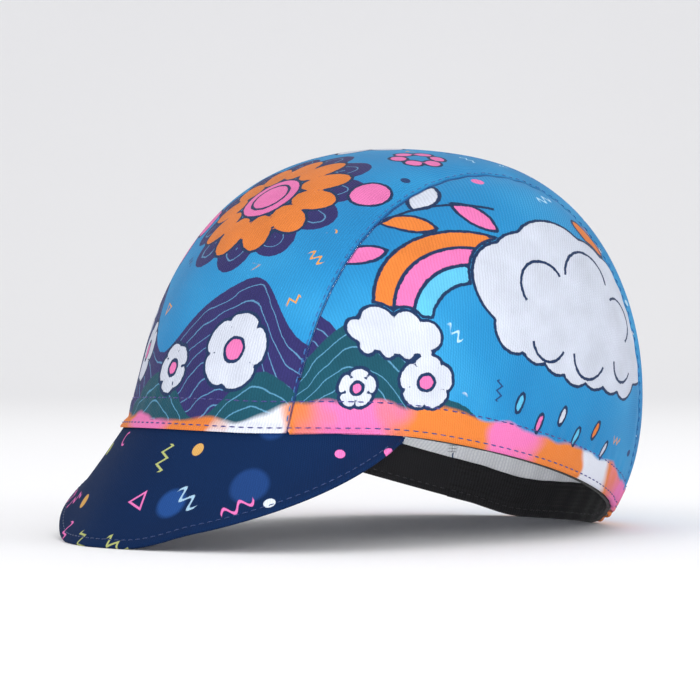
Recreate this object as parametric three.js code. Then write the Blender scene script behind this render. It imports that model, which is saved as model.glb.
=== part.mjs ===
// A cycling cap with its peak turned down, lying on a table on the peak's edge and the back of its hem.
// Lengths are in millimetres. +Z is up, the front is towards -Y and the wearer's left is towards +X.
// The cap is shaped with its rim level, and the whole of it is then leaned back onto the table.
import * as THREE from 'three';

// Opening of the crown
const RIM_LENGTH = 204;
const RIM_WIDTH = 165;
const EAR_RISE = 8;

// Crown of three cloth panels
const CROWN_HEIGHT = 130;
const TOP_SETBACK_LENGTH = 19;
const CLOTH_THICKNESS = 1.2;
const SEAM_HALF_WIDTH_AT_HEM = 51;
const SEAM_HALF_WIDTH_AT_TOP = 54;
const SEAM_GAP = 0.4;
const SEAM_DIP_DEPTH = 1;
const SEAM_DIP_WIDTH = 6;
const SEAM_DIP_FADE_HEIGHT = 25;

// Run of the crown's wall from the rim to the top, as the handles of one cubic curve for each side.
// lean and reach are shares of the rim's distance from the top's axis, rise is a share of the height.
const CROWN_WALLS = {
  front: { lean: 0, rise: 0.51, reach: 0.77 },
  side: { lean: 0.195, rise: 0.755, reach: 0.635 },
  back: { lean: 0.28, rise: 0.26, reach: 0.87 },
};

// Peak of two covers, from the front of the rim down to the table
const PEAK_REACH = 20;
const PEAK_DROP = 51.5;
const PEAK_SPREAD = THREE.MathUtils.degToRad(63.8);
const PEAK_COVER_THICKNESS = 1.1;
const COVER_GAP = 0.3;
const ROOT_GAP = 0.4;
const CORNER_LENGTH = 2;

// Handles of the peak's edge between its tip and its corner. across is a share of half the rim's width,
// forward a share of the tip's distance from the rim's centre, and drop a share of the peak's drop.
const PEAK_EDGE = [
  { across: 0.33, forward: 1, drop: 1 },
  { across: 1.18, forward: 0.73, drop: 0.6 },
];

// Inner band: smooth round the front and sides, elastic across the back
const BAND_HEIGHT = 17;
const BAND_THICKNESS = 1.5;
const LINING_GAP = 0.5;
const BAND_JOIN_GAP = 0.5;

// Seam allowances, sewn down inside along the two crown seams
const ALLOWANCE_WIDTH = 6;
const ALLOWANCE_THICKNESS = 1;

// Stretch of hem and of peak edge that lies flat on the table
const SEAT_WIDTH = 28;
const SEAT_FADE_LENGTH = 30;

// Fineness of the faceted sheets
const PANEL_ROWS = 30;
const ROW_CROWDING = 0.6;
const CENTRE_COLUMNS = 6;
const SIDE_COLUMNS = 8;
const BAND_STEP = THREE.MathUtils.degToRad(6.5);
const BAND_ROWS = 3;
const PEAK_COLUMNS = 36;
const PEAK_ROWS = 4;
const DISC_STEP = 0.004;

// Sizes that follow from the ones above
const HALF_LENGTH = RIM_LENGTH / 2;
const HALF_WIDTH = RIM_WIDTH / 2;
const TIP_DISTANCE = HALF_LENGTH + PEAK_REACH;
const TILT = Math.atan2(PEAK_DROP, HALF_LENGTH + TIP_DISTANCE);
const TABLE_NORMAL = new THREE.Vector3(0, -Math.sin(TILT), Math.cos(TILT));
const BAND_DEPTH = CLOTH_THICKNESS + LINING_GAP;
const HEM_ACROSS = SEAM_HALF_WIDTH_AT_HEM / HALF_WIDTH;
const HEM_ALONG = Math.sqrt(1 - HEM_ACROSS ** 2);
const TOP_ACROSS = findRising((across) => crownBase(across, 0).x, SEAM_HALF_WIDTH_AT_TOP, 0, 1);

// General helpers

function mix(from, to, share) {
  return from + (to - from) * share;
}

function smooth(share) {
  return THREE.MathUtils.smoothstep(share, 0, 1);
}

// Value between low and high at which a measure that rises there reaches its target
function findRising(measure, target, low, high) {
  let below = low;
  let above = high;
  for (let turn = 0; turn < 40; turn += 1) {
    const middle = (below + above) / 2;
    if (measure(middle) < target) {
      below = middle;
    } else {
      above = middle;
    }
  }
  return (below + above) / 2;
}

// Closed sheet between an outer and an inner skin, each given as a function of column and row.
// Columns run to the right and rows run away from the viewer of the outer skin, unless it is mirrored.
function sheetGeometry(columns, rows, outer, inner, mirrored = false) {
  const positions = [];
  const indices = [];
  const skins = [outer, inner];
  const skinSize = (columns + 1) * (rows + 1);
  for (const skin of skins) {
    for (let row = 0; row <= rows; row += 1) {
      for (let column = 0; column <= columns; column += 1) {
        positions.push(...skin(column, row).toArray());
      }
    }
  }
  const vertex = (side, column, row) => side * skinSize + row * (columns + 1) + column;
  const addQuad = (a, b, c, d) => {
    const turned = mirrored ? [a, c, b, a, d, c] : [a, b, c, a, c, d];
    indices.push(...turned);
  };
  for (let row = 0; row < rows; row += 1) {
    for (let column = 0; column < columns; column += 1) {
      const corners = [[column, row], [column + 1, row], [column + 1, row + 1], [column, row + 1]];
      addQuad(...corners.map((corner) => vertex(0, ...corner)));
      addQuad(...corners.map((corner) => vertex(1, ...corner)).reverse());
    }
  }
  for (let column = 0; column < columns; column += 1) {
    addQuad(vertex(1, column, 0), vertex(1, column + 1, 0), vertex(0, column + 1, 0), vertex(0, column, 0));
    addQuad(vertex(0, column, rows), vertex(0, column + 1, rows), vertex(1, column + 1, rows),
      vertex(1, column, rows));
  }
  for (let row = 0; row < rows; row += 1) {
    addQuad(vertex(0, 0, row), vertex(0, 0, row + 1), vertex(1, 0, row + 1), vertex(1, 0, row));
    addQuad(vertex(1, columns, row), vertex(1, columns, row + 1), vertex(0, columns, row + 1),
      vertex(0, columns, row));
  }
  const geometry = new THREE.BufferGeometry();
  geometry.setAttribute('position', new THREE.Float32BufferAttribute(positions, 3));
  geometry.setIndex(indices);
  geometry.computeVertexNormals();
  return geometry;
}

// Rim and crown surface
// The crown is a map of the unit disc: its edge is the rim, its centre is the top of the crown,
// across runs towards +X and along towards the back.

// Lays the middle stretch of an edge flat on the table
function settle(point) {
  const table = (point.y - HALF_LENGTH) * Math.tan(TILT);
  const lifted = smooth((Math.abs(point.x) - SEAT_WIDTH / 2) / SEAT_FADE_LENGTH);
  return point.setZ(mix(table, point.z, lifted));
}

function rimPoint(bearing) {
  const across = Math.cos(bearing);
  const along = Math.sin(bearing);
  const point = new THREE.Vector3(HALF_WIDTH * across, HALF_LENGTH * along, EAR_RISE * across ** 2);
  return along > 0 ? settle(point) : point;
}

function wallHandles(bearing) {
  const sideShare = Math.cos(bearing) ** 2;
  const end = Math.sin(bearing) > 0 ? CROWN_WALLS.back : CROWN_WALLS.front;
  const blend = (name) => mix(end[name], CROWN_WALLS.side[name], sideShare);
  return { lean: blend('lean'), rise: blend('rise'), reach: blend('reach') };
}

function wallCurve(bearing) {
  const rim = rimPoint(bearing);
  const { lean, rise, reach } = wallHandles(bearing);
  const outwards = (share, height) => new THREE.Vector3(
    rim.x * share,
    TOP_SETBACK_LENGTH + (rim.y - TOP_SETBACK_LENGTH) * share,
    mix(rim.z, CROWN_HEIGHT, height),
  );
  return new THREE.CubicBezierCurve3(rim, outwards(1 + lean, rise), outwards(reach, 1), outwards(0, 1));
}

function crownBase(across, along) {
  const climb = 1 - Math.min(Math.hypot(across, along), 1);
  return wallCurve(Math.atan2(along, across)).getPoint(climb);
}

function crownNormal(across, along) {
  const inset = Math.min(1, (1 - 2 * DISC_STEP) / Math.hypot(across, along));
  const u = across * inset;
  const v = along * inset;
  const acrossSlope = crownBase(u + DISC_STEP, v).sub(crownBase(u - DISC_STEP, v));
  const alongSlope = crownBase(u, v + DISC_STEP).sub(crownBase(u, v - DISC_STEP));
  return acrossSlope.cross(alongSlope).normalize();
}

// Millimetres of cloth for one unit of the disc in the across direction
function acrossScale(across, along) {
  const inner = crownBase(across - 2 * DISC_STEP, along);
  return inner.distanceTo(crownBase(across, along)) / (2 * DISC_STEP);
}

// Half width of the centre panel in the disc
function seamAcross(along) {
  return mix(TOP_ACROSS, HEM_ACROSS, (along / HEM_ALONG) ** 2);
}

// Shallow valley that the thread pulls along each seam, fading out above the hem
function seamDip(across, along) {
  const seam = seamAcross(Math.min(Math.abs(along), HEM_ALONG));
  const away = (Math.abs(across) - seam) * HALF_WIDTH;
  const climbed = (1 - Math.hypot(across, along)) * CROWN_HEIGHT;
  const depth = SEAM_DIP_DEPTH * smooth(climbed / SEAM_DIP_FADE_HEIGHT);
  return depth * Math.exp(-((away / SEAM_DIP_WIDTH) ** 2));
}

// Direction that carries a sheet's thickness where its edge is cut level with the table
function levelled(normal) {
  const flat = normal.clone().projectOnPlane(TABLE_NORMAL);
  return flat.divideScalar(flat.lengthSq());
}

// Point of the crown's wall at a depth inwards from its outer face
function crownPoint(across, along, depth) {
  const normal = crownNormal(across, along);
  const atRim = Math.hypot(across, along) > 1 - 1e-9;
  const direction = atRim ? levelled(normal) : normal;
  return crownBase(across, along).addScaledVector(direction, -depth - seamDip(across, along));
}

// Share of the way up the wall at which it is a given height above the rim
function climbAt(bearing, height) {
  const wall = wallCurve(bearing);
  const rim = wall.getPoint(0);
  return findRising((climb) => wall.getPoint(climb).distanceTo(rim), height, 0, 0.5);
}

// Crown panels

// Rows crowd towards the hem at both ends, where the wall bends most
function rowShare(row) {
  const share = row / PANEL_ROWS;
  return share - (ROW_CROWDING * Math.sin(2 * Math.PI * share)) / (2 * Math.PI);
}

function seamAlong(row) {
  return mix(-HEM_ALONG, HEM_ALONG, rowShare(row));
}

// Column positions of the centre panel from seam to seam, with one line along each seam allowance
function centreColumns() {
  const besideSeam = 1 - (0.6 * ALLOWANCE_WIDTH) / SEAM_HALF_WIDTH_AT_TOP;
  const half = [];
  for (let column = 0; column <= CENTRE_COLUMNS; column += 1) {
    half.push((besideSeam * column) / CENTRE_COLUMNS);
  }
  half.push(1);
  const mirroredHalf = half.slice(1).reverse().map((value) => -value);
  return [...mirroredHalf, ...half];
}

function centrePanel() {
  const columns = centreColumns();
  const skin = (depth) => (column, row) => {
    const along = seamAlong(row);
    const seam = seamAcross(along);
    const edge = seam - SEAM_GAP / 2 / acrossScale(seam, along);
    const bow = mix(-1, 1, rowShare(row)) - along;
    const place = new THREE.Vector2(columns[column] * edge, along + bow * (1 - columns[column] ** 2));
    if (row === 0 || row === PANEL_ROWS) {
      place.normalize();
    }
    return crownPoint(place.x, place.y, depth);
  };
  return sheetGeometry(columns.length - 1, PANEL_ROWS, skin(0), skin(CLOTH_THICKNESS));
}

// Side panel on the +X side for side = 1 and on the -X side for side = -1
function sidePanel(side) {
  const skin = (depth) => (column, row) => {
    const trimmedRow = THREE.MathUtils.clamp(row, 0.5, PANEL_ROWS - 0.5);
    const along = seamAlong(trimmedRow);
    const seam = seamAcross(along);
    const scale = acrossScale(seam, along);
    const start = seam + SEAM_GAP / 2 / scale;
    const rim = Math.sqrt(1 - along ** 2);
    const besideSeam = Math.min(start + (0.6 * ALLOWANCE_WIDTH) / scale, (start + rim) / 2);
    const across = column === 0 ? start : mix(besideSeam, rim, (column - 1) / SIDE_COLUMNS);
    const point = crownPoint(across, along, depth);
    return point.setX(side * point.x);
  };
  return sheetGeometry(SIDE_COLUMNS + 1, PANEL_ROWS, skin(0), skin(CLOTH_THICKNESS), side < 0);
}

// How far along the disc, towards the front or the back, a line of the crown stays above the inner band
function reachAboveBand(across, end) {
  const height = BAND_HEIGHT + LINING_GAP;
  const measure = (along) => Math.hypot(across, along) + climbAt(Math.atan2(end * along, across), height);
  return findRising(measure, 1, 0, 1);
}

// Strip inside the crown that covers one seam, from the band's top at the front to its top at the back
function seamAllowance(side) {
  const acrossAt = (column, along) => {
    const seam = seamAcross(along);
    return seam + ((column - 1) * ALLOWANCE_WIDTH) / 2 / acrossScale(seam, along);
  };
  const frontEnd = (column) => -reachAboveBand(acrossAt(column, -HEM_ALONG), -1);
  const backEnd = (column) => reachAboveBand(acrossAt(column, HEM_ALONG), 1);
  const between = [];
  for (let row = 0; row <= PANEL_ROWS; row += 1) {
    const along = seamAlong(row);
    if (along > frontEnd(2) && along < backEnd(2)) {
      between.push(along);
    }
  }
  const stations = [frontEnd, ...between.map((along) => () => along), backEnd];
  const skin = (depth) => (column, row) => {
    const along = stations[row](column);
    const point = crownPoint(acrossAt(column, along), along, depth);
    return point.setX(side * point.x);
  };
  const inner = BAND_DEPTH + ALLOWANCE_THICKNESS;
  return sheetGeometry(2, stations.length - 1, skin(BAND_DEPTH), skin(inner), side < 0);
}

// Stretch of the inner band between two bearings
function bandStretch(from, to) {
  const columns = Math.ceil((to - from) / BAND_STEP);
  const skin = (depth) => (column, row) => {
    const bearing = mix(from, to, column / columns);
    const radius = 1 - (row === 0 ? 0 : climbAt(bearing, (BAND_HEIGHT * row) / BAND_ROWS));
    return crownPoint(radius * Math.cos(bearing), radius * Math.sin(bearing), depth);
  };
  return sheetGeometry(columns, BAND_ROWS, skin(BAND_DEPTH), skin(BAND_DEPTH + BAND_THICKNESS));
}

function sweatband() {
  const join = Math.atan2(HEM_ALONG, HEM_ACROSS) - BAND_JOIN_GAP / RIM_WIDTH;
  return bandStretch(-Math.PI - join, join);
}

function rearElastic() {
  const join = Math.atan2(HEM_ALONG, HEM_ACROSS) + BAND_JOIN_GAP / RIM_WIDTH;
  return bandStretch(join, Math.PI - join);
}

// Peak

// Outer edge from the tip to the corner on the +X side
function peakEdge() {
  const tip = new THREE.Vector3(0, -TIP_DISTANCE, -PEAK_DROP);
  const handles = PEAK_EDGE.map(({ across, forward, drop }) => new THREE.Vector3(
    across * HALF_WIDTH,
    -forward * TIP_DISTANCE,
    -drop * PEAK_DROP,
  ));
  const corner = rimPoint(PEAK_SPREAD - Math.PI / 2);
  return new THREE.CubicBezierCurve3(tip, ...handles, corner);
}

// Outer face of the peak. turn runs from one corner at -1 to the other at 1, fall from root to edge.
function peakBase(turn, fall) {
  const root = rimPoint(turn * PEAK_SPREAD - Math.PI / 2).addScaledVector(TABLE_NORMAL, -ROOT_GAP);
  const edge = settle(peakEdge().getPoint(Math.min(Math.abs(turn), 1)));
  edge.setX(Math.sign(turn) * edge.x);
  return root.lerp(edge, fall);
}

function peakPoint(turn, fall, depth) {
  const turnSlope = peakBase(turn + DISC_STEP, 0.5).sub(peakBase(turn - DISC_STEP, 0.5));
  const fallSlope = peakBase(turn, 1).sub(peakBase(turn, 0));
  const normal = fallSlope.cross(turnSlope).normalize();
  const atEdge = fall === 0 || fall === 1;
  const direction = atEdge ? levelled(normal) : normal;
  return peakBase(turn, fall).addScaledVector(direction, -depth);
}

function peakCover(outerDepth) {
  const span = (turn) => peakBase(turn, 0).distanceTo(peakBase(turn, 1));
  const lastTurn = 1 - findRising((share) => span(1 - share), CORNER_LENGTH, 0, 0.5);
  const skin = (depth) => (column, row) => {
    const turn = mix(lastTurn, -lastTurn, column / PEAK_COLUMNS);
    return peakPoint(turn, row / PEAK_ROWS, depth);
  };
  return sheetGeometry(PEAK_COLUMNS, PEAK_ROWS, skin(outerDepth), skin(outerDepth + PEAK_COVER_THICKNESS));
}

// Assembly

function addPiece(group, name, geometry, color, roughness) {
  const material = new THREE.MeshStandardMaterial({ color, roughness, metalness: 0 });
  const piece = new THREE.Mesh(geometry, material);
  piece.name = name;
  group.add(piece);
}

const cap = new THREE.Group();
addPiece(cap, 'crown_centre_panel', centrePanel(), 0x2e9ae0, 0.82);
addPiece(cap, 'crown_left_panel', sidePanel(1), 0x3aa2e2, 0.82);
addPiece(cap, 'crown_right_panel', sidePanel(-1), 0x3aa2e2, 0.82);
addPiece(cap, 'left_seam_allowance', seamAllowance(1), 0xc9ccd0, 0.9);
addPiece(cap, 'right_seam_allowance', seamAllowance(-1), 0xc9ccd0, 0.9);
addPiece(cap, 'sweatband_front', sweatband(), 0x1c1c1e, 0.9);
addPiece(cap, 'rear_elastic', rearElastic(), 0x161618, 0.95);
addPiece(cap, 'peak_top_cover', peakCover(0), 0x1b2f57, 0.8);
addPiece(cap, 'peak_under_cover', peakCover(PEAK_COVER_THICKNESS + COVER_GAP), 0x1b2f57, 0.8);

// Lean onto the table, with the origin under the middle of the cap
cap.rotation.x = -TILT;
const reach = new THREE.Box3().setFromObject(cap, true);
cap.position.set(0, -(reach.min.y + reach.max.y) / 2, -reach.min.z);

const part = new THREE.Group();
part.add(cap);

export default part;
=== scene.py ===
"""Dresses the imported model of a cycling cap: printed knit crown, inner band, elastic back and lowered peak.

Sizes are in millimetres with the rim level, as a cap maker would give them. CapForm.to_row leans the finished
points onto the table and turns them to metres in the frame's own axes.
"""
import logging
import math
from collections.abc import Callable, Sequence
from dataclasses import dataclass, field
from enum import Enum
from functools import cached_property
from typing import Protocol

import bpy
import numpy as np
from mathutils import Matrix, Vector


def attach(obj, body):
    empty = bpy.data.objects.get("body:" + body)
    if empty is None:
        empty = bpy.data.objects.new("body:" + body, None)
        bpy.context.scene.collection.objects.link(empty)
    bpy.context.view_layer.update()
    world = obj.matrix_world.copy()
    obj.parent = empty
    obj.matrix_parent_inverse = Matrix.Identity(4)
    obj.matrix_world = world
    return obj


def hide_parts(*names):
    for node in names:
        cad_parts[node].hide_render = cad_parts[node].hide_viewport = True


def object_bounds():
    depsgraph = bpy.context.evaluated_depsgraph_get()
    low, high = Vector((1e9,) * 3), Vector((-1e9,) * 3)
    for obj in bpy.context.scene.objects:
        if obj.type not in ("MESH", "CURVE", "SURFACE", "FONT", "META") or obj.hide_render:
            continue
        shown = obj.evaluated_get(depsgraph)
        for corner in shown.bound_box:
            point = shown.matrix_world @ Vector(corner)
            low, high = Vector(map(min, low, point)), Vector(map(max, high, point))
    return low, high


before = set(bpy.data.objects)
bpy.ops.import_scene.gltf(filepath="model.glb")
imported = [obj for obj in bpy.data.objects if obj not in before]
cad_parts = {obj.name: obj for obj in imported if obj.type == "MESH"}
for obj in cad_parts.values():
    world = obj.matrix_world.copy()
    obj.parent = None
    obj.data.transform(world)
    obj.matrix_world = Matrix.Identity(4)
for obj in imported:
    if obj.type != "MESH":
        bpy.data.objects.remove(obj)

LOG = logging.getLogger("cap")
MM = 0.001
CAD_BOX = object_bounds()
BODY = "root"
NO_INK = 60.0
NEVER_ZERO = 1e-12
TRIALS = 400
PROUD_THREAD = 0.05
PETAL_SHARE = 0.62
SMOOTH_ANGLE = math.radians(60)

Socket = bpy.types.NodeSocket
Placer = Callable[[np.ndarray, np.ndarray], np.ndarray]


# Small helpers

def linear(hex_colour: str) -> tuple[float, float, float, float]:
    """Turn an sRGB hex colour into the linear colour that a shader takes.

    Args:
        hex_colour: Colour such as "#2E9AE0".

    Returns:
        Red, green, blue and alpha.
    """
    channels = [int(hex_colour[place:place + 2], 16) / 255 for place in (1, 3, 5)]
    curved = [c / 12.92 if c <= 0.04045 else ((c + 0.055) / 1.055) ** 2.4 for c in channels]
    return (*curved, 1.0)


def mix(start: np.ndarray | float, end: np.ndarray | float, share: np.ndarray | float) -> np.ndarray:
    """Blend two values by a share from 0 to 1."""
    return start + (end - start) * share


def smooth(share: np.ndarray | float) -> np.ndarray:
    """Ease a share from 0 to 1, flat at both ends and beyond them."""
    held = np.clip(share, 0.0, 1.0)
    return held * held * (3 - 2 * held)


def crowded(share: np.ndarray, strength: float) -> np.ndarray:
    """Draw evenly spread shares together towards both ends by a strength from 0 to 1."""
    return share - strength * np.sin(2 * np.pi * share) / (2 * np.pi)


def valley(distance: np.ndarray, width: float) -> np.ndarray:
    """Bell-shaped share that is 1 where the distance is 0 and fades over the width."""
    return np.exp(-((distance / width) ** 2))


def unit(vectors: np.ndarray) -> np.ndarray:
    """Scale each vector to length 1."""
    return vectors / np.maximum(np.linalg.norm(vectors, axis=-1, keepdims=True), NEVER_ZERO)


def bezier(start: np.ndarray, first: np.ndarray, second: np.ndarray, end: np.ndarray,
           t: np.ndarray) -> np.ndarray:
    """Points of a cubic Bezier curve at shares t, whose last axis has length 1."""
    return start * (1 - t) ** 3 + 3 * first * t * (1 - t) ** 2 + 3 * second * t ** 2 * (1 - t) + end * t ** 3


def running_length(points: np.ndarray, axis: int = 0) -> np.ndarray:
    """Distance along lines of points from their first point.

    Args:
        points: Array of points whose last axis holds x, y and z.
        axis: Axis that runs along each line.

    Returns:
        Array of the same shape without its last axis.
    """
    steps = np.linalg.norm(np.diff(points, axis=axis), axis=-1)
    run = np.cumsum(steps, axis=axis)
    return np.concatenate([np.zeros_like(np.take(run, [0], axis=axis)), run], axis=axis)


# Form of the cap

@dataclass(frozen=True)
class WallRun:
    """Handles of the curve that the crown's wall follows from the rim to the top.

    lean and reach are shares of the rim's distance from the top's axis, rise is a share of the height.
    """

    lean: float
    rise: float
    reach: float


@dataclass(frozen=True)
class CapForm:
    """Sizes of the cap and the surfaces that follow from them.

    The crown is a map of the unit disc: its edge is the rim, its centre is the top, across runs towards the
    wearer's left and along towards the back. The wearer's left is +X, the front is -Y.
    """

    rim_length: float = 204.0
    rim_width: float = 165.0
    ear_rise: float = 8.0
    crown_height: float = 130.0
    top_setback: float = 19.0
    front_wall: WallRun = WallRun(lean=0.0, rise=0.51, reach=0.77)
    side_wall: WallRun = WallRun(lean=0.195, rise=0.755, reach=0.635)
    back_wall: WallRun = WallRun(lean=0.28, rise=0.26, reach=0.87)
    seam_half_width_at_hem: float = 51.0
    seam_half_width_at_top: float = 54.0
    peak_reach: float = 20.0
    peak_drop: float = 51.5
    peak_spread: float = math.radians(63.8)
    peak_handle_tip: tuple[float, float, float] = (0.33, 1.0, 1.0)
    peak_handle_corner: tuple[float, float, float] = (1.18, 0.73, 0.6)
    root_gap: float = 0.4
    seat_width: float = 28.0
    seat_fade: float = 30.0
    slope_step: float = 0.004
    rim_steps: int = 720
    wall_steps: int = 12

    @property
    def half_length(self) -> float:
        """Half the length of the rim."""
        return self.rim_length / 2

    @property
    def half_width(self) -> float:
        """Half the width of the rim."""
        return self.rim_width / 2

    @property
    def tip_distance(self) -> float:
        """Distance of the peak's tip in front of the rim's centre."""
        return self.half_length + self.peak_reach

    @property
    def tilt(self) -> float:
        """Angle by which the cap leans back when it lies on its peak and rear hem."""
        return math.atan2(self.peak_drop, self.half_length + self.tip_distance)

    @property
    def hem_across(self) -> float:
        """Half width of the centre panel at the hem, in the disc."""
        return self.seam_half_width_at_hem / self.half_width

    @property
    def hem_along(self) -> float:
        """Distance from the disc's centre line at which a seam meets the rim."""
        return math.sqrt(1 - self.hem_across ** 2)

    @cached_property
    def top_across(self) -> float:
        """Half width of the centre panel beside the top, in the disc."""
        trial = np.linspace(0.2, 0.95, TRIALS)
        return float(np.interp(self.seam_half_width_at_top, self.crown(trial, 0 * trial)[:, 0], trial))

    @cached_property
    def shift(self) -> np.ndarray:
        """Move from the leaned cap to the frame: the peak's tip on the table, at the front of the box."""
        tip = self.turned(np.array([0.0, -self.tip_distance, -self.peak_drop]))
        return np.array([0.0, CAD_BOX[0].y / MM - tip[1], -tip[2]])

    def turned(self, vectors: np.ndarray) -> np.ndarray:
        """Turn points or directions about the width axis by the cap's tilt."""
        return vectors @ np.array(Matrix.Rotation(-self.tilt, 3, "X")).T

    def to_row(self, points: np.ndarray) -> np.ndarray:
        """Lean points onto the table, with none of them below it.

        Args:
            points: Points in millimetres with the rim level.

        Returns:
            Points in metres in the frame's axes.
        """
        placed = (self.turned(points) + self.shift) * MM
        placed[..., 2] = np.maximum(placed[..., 2], 0.0)
        return placed

    def settled(self, points: np.ndarray) -> np.ndarray:
        """Lay the middle stretch of an edge flat on the table.

        Args:
            points: Edge with the rim level.

        Returns:
            Edge whose middle lies on the table and whose ends keep their height.
        """
        table = (points[..., 1] - self.half_length) * math.tan(self.tilt)
        lifted = smooth((np.abs(points[..., 0]) - self.seat_width / 2) / self.seat_fade)
        height = mix(table, points[..., 2], lifted)
        return np.stack([points[..., 0], points[..., 1], height], axis=-1)

    def rim(self, bearing: np.ndarray) -> np.ndarray:
        """Points of the rim.

        Args:
            bearing: Angles that run from +X towards the back.

        Returns:
            Points with the rim level.
        """
        across, along = np.cos(bearing), np.sin(bearing)
        height = self.ear_rise * across ** 2
        level = np.stack([self.half_width * across, self.half_length * along, height], axis=-1)
        return np.where((along > 0)[..., None], self.settled(level), level)

    def wall(self, bearing: np.ndarray, climb: np.ndarray) -> np.ndarray:
        """Points of the crown's wall.

        Args:
            bearing: Angles that run from +X towards the back.
            climb: Shares from 0 at the rim to 1 at the top.

        Returns:
            Points with the rim level.
        """
        rim = self.rim(bearing)
        side_share = np.cos(bearing) ** 2
        behind = np.sin(bearing) > 0

        def handle(name: str) -> np.ndarray:
            """Blend one handle's share round the crown."""
            end = np.where(behind, getattr(self.back_wall, name), getattr(self.front_wall, name))
            return mix(end, getattr(self.side_wall, name), side_share)

        def outwards(share: np.ndarray, height: np.ndarray) -> np.ndarray:
            """Point at a share of the rim's distance and a share of the crown's height."""
            along = self.top_setback + (rim[..., 1] - self.top_setback) * share
            up = mix(rim[..., 2], self.crown_height, height)
            return np.stack([rim[..., 0] * share, along, up], axis=-1)

        one = np.ones_like(side_share)
        lower = outwards(1 + handle("lean"), handle("rise"))
        upper = outwards(handle("reach"), one)
        return bezier(rim, lower, upper, outwards(0 * one, one), climb[..., None])

    def crown(self, across: np.ndarray, along: np.ndarray) -> np.ndarray:
        """Points of the crown's outer face at places in the disc."""
        return self.wall(np.arctan2(along, across), 1 - np.minimum(np.hypot(across, along), 1.0))

    def crown_normal(self, across: np.ndarray, along: np.ndarray) -> np.ndarray:
        """Outward directions of the crown's face.

        Args:
            across: Places in the disc towards the wearer's left.
            along: Places in the disc towards the back.

        Returns:
            Directions of length 1.
        """
        step = self.slope_step
        inset = np.minimum(1.0, (1 - 2 * step) / np.maximum(np.hypot(across, along), NEVER_ZERO))
        u, v = across * inset, along * inset
        across_slope = self.crown(u + step, v) - self.crown(u - step, v)
        along_slope = self.crown(u, v + step) - self.crown(u, v - step)
        return unit(np.cross(across_slope, along_slope))

    def across_scale(self, across: np.ndarray, along: np.ndarray) -> np.ndarray:
        """Millimetres of cloth for one unit of the disc in the across direction."""
        span = 2 * self.slope_step
        return np.linalg.norm(self.crown(across - span, along) - self.crown(across, along), axis=-1) / span

    def seam(self, along: np.ndarray) -> np.ndarray:
        """Half width of the centre panel in the disc."""
        held = np.clip(np.abs(along), 0.0, self.hem_along)
        return mix(self.top_across, self.hem_across, (held / self.hem_along) ** 2)

    def beside_seam(self, across: np.ndarray, along: np.ndarray) -> np.ndarray:
        """Millimetres of cloth between each place and the nearer seam."""
        seam = self.seam(along)
        return np.abs(np.abs(across) - seam) * self.across_scale(seam, along)

    @cached_property
    def rim_table(self) -> tuple[np.ndarray, np.ndarray]:
        """Measured rim, from the back's middle round the front's and on to the back's.

        Returns:
            Turns away from the front's middle, and the length along the rim at each.
        """
        turn = np.linspace(-np.pi, np.pi, 2 * self.rim_steps + 1)
        length = running_length(self.rim(turn - np.pi / 2))
        return turn, length - length[self.rim_steps]

    @property
    def rim_round(self) -> float:
        """Length of the whole rim."""
        return 2 * self.rim_table[1][-1]

    def rim_run(self, across: np.ndarray, along: np.ndarray) -> np.ndarray:
        """Length along the rim from the front's middle to each place's bearing, positive on the left."""
        return np.interp(np.arctan2(across, -along), *self.rim_table)

    def wall_run(self, across: np.ndarray, along: np.ndarray) -> np.ndarray:
        """Length up the wall from the rim.

        Args:
            across: Places in the disc towards the wearer's left.
            along: Places in the disc towards the back.

        Returns:
            Millimetres for each place.
        """
        climb = 1 - np.minimum(np.hypot(across, along), 1.0)
        steps = np.linspace(0.0, 1.0, self.wall_steps + 1).reshape(-1, *[1] * across.ndim)
        bearing = np.arctan2(along, across)
        return running_length(self.wall(bearing + 0 * steps, climb * steps))[-1]

    def radius_at(self, bearing: np.ndarray, height: float) -> np.ndarray:
        """Disc radius at which the wall is a given length above the rim.

        Args:
            bearing: List of bearings.
            height: Length up the wall in millimetres.

        Returns:
            Radius for each bearing.
        """
        climbs = np.linspace(0.0, 0.5, 5 * self.wall_steps + 1)[:, None]
        heights = running_length(self.wall(bearing + 0 * climbs, climbs + 0 * bearing))
        return 1 - np.array([np.interp(height, column, climbs[:, 0]) for column in heights.T])

    def peak(self, turn: np.ndarray, fall: np.ndarray) -> np.ndarray:
        """Points of the peak's upper face.

        Args:
            turn: Runs from one corner at -1 to the other at 1.
            fall: Runs from 0 at the root to 1 at the edge.

        Returns:
            Points with the rim level.
        """
        table_normal = np.array([0.0, -math.sin(self.tilt), math.cos(self.tilt)])
        root = self.rim(turn * self.peak_spread - np.pi / 2) - self.root_gap * table_normal
        scale = np.array([self.half_width, -self.tip_distance, -self.peak_drop])
        corner = self.rim(np.array(self.peak_spread - np.pi / 2))
        tip = scale * np.array([0.0, 1.0, 1.0])
        handles = (scale * np.array(self.peak_handle_tip), scale * np.array(self.peak_handle_corner))
        edge = self.settled(bezier(tip, *handles, corner, np.minimum(np.abs(turn), 1.0)[..., None]))
        edge[..., 0] *= np.sign(turn)
        return mix(root, edge, fall[..., None])

    def peak_normal(self, turn: np.ndarray) -> np.ndarray:
        """Outward directions of the peak's upper face, the same from root to edge.

        Args:
            turn: Runs from one corner at -1 to the other at 1.

        Returns:
            Directions of length 1.
        """
        half = 0.5 + 0 * turn
        turn_slope = self.peak(turn + self.slope_step, half) - self.peak(turn - self.slope_step, half)
        return unit(np.cross(self.peak_fall(turn), turn_slope))

    def peak_fall(self, turn: np.ndarray) -> np.ndarray:
        """Vector from the peak's root to its edge."""
        return self.peak(turn, 1 + 0 * turn) - self.peak(turn, 0 * turn)


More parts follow.
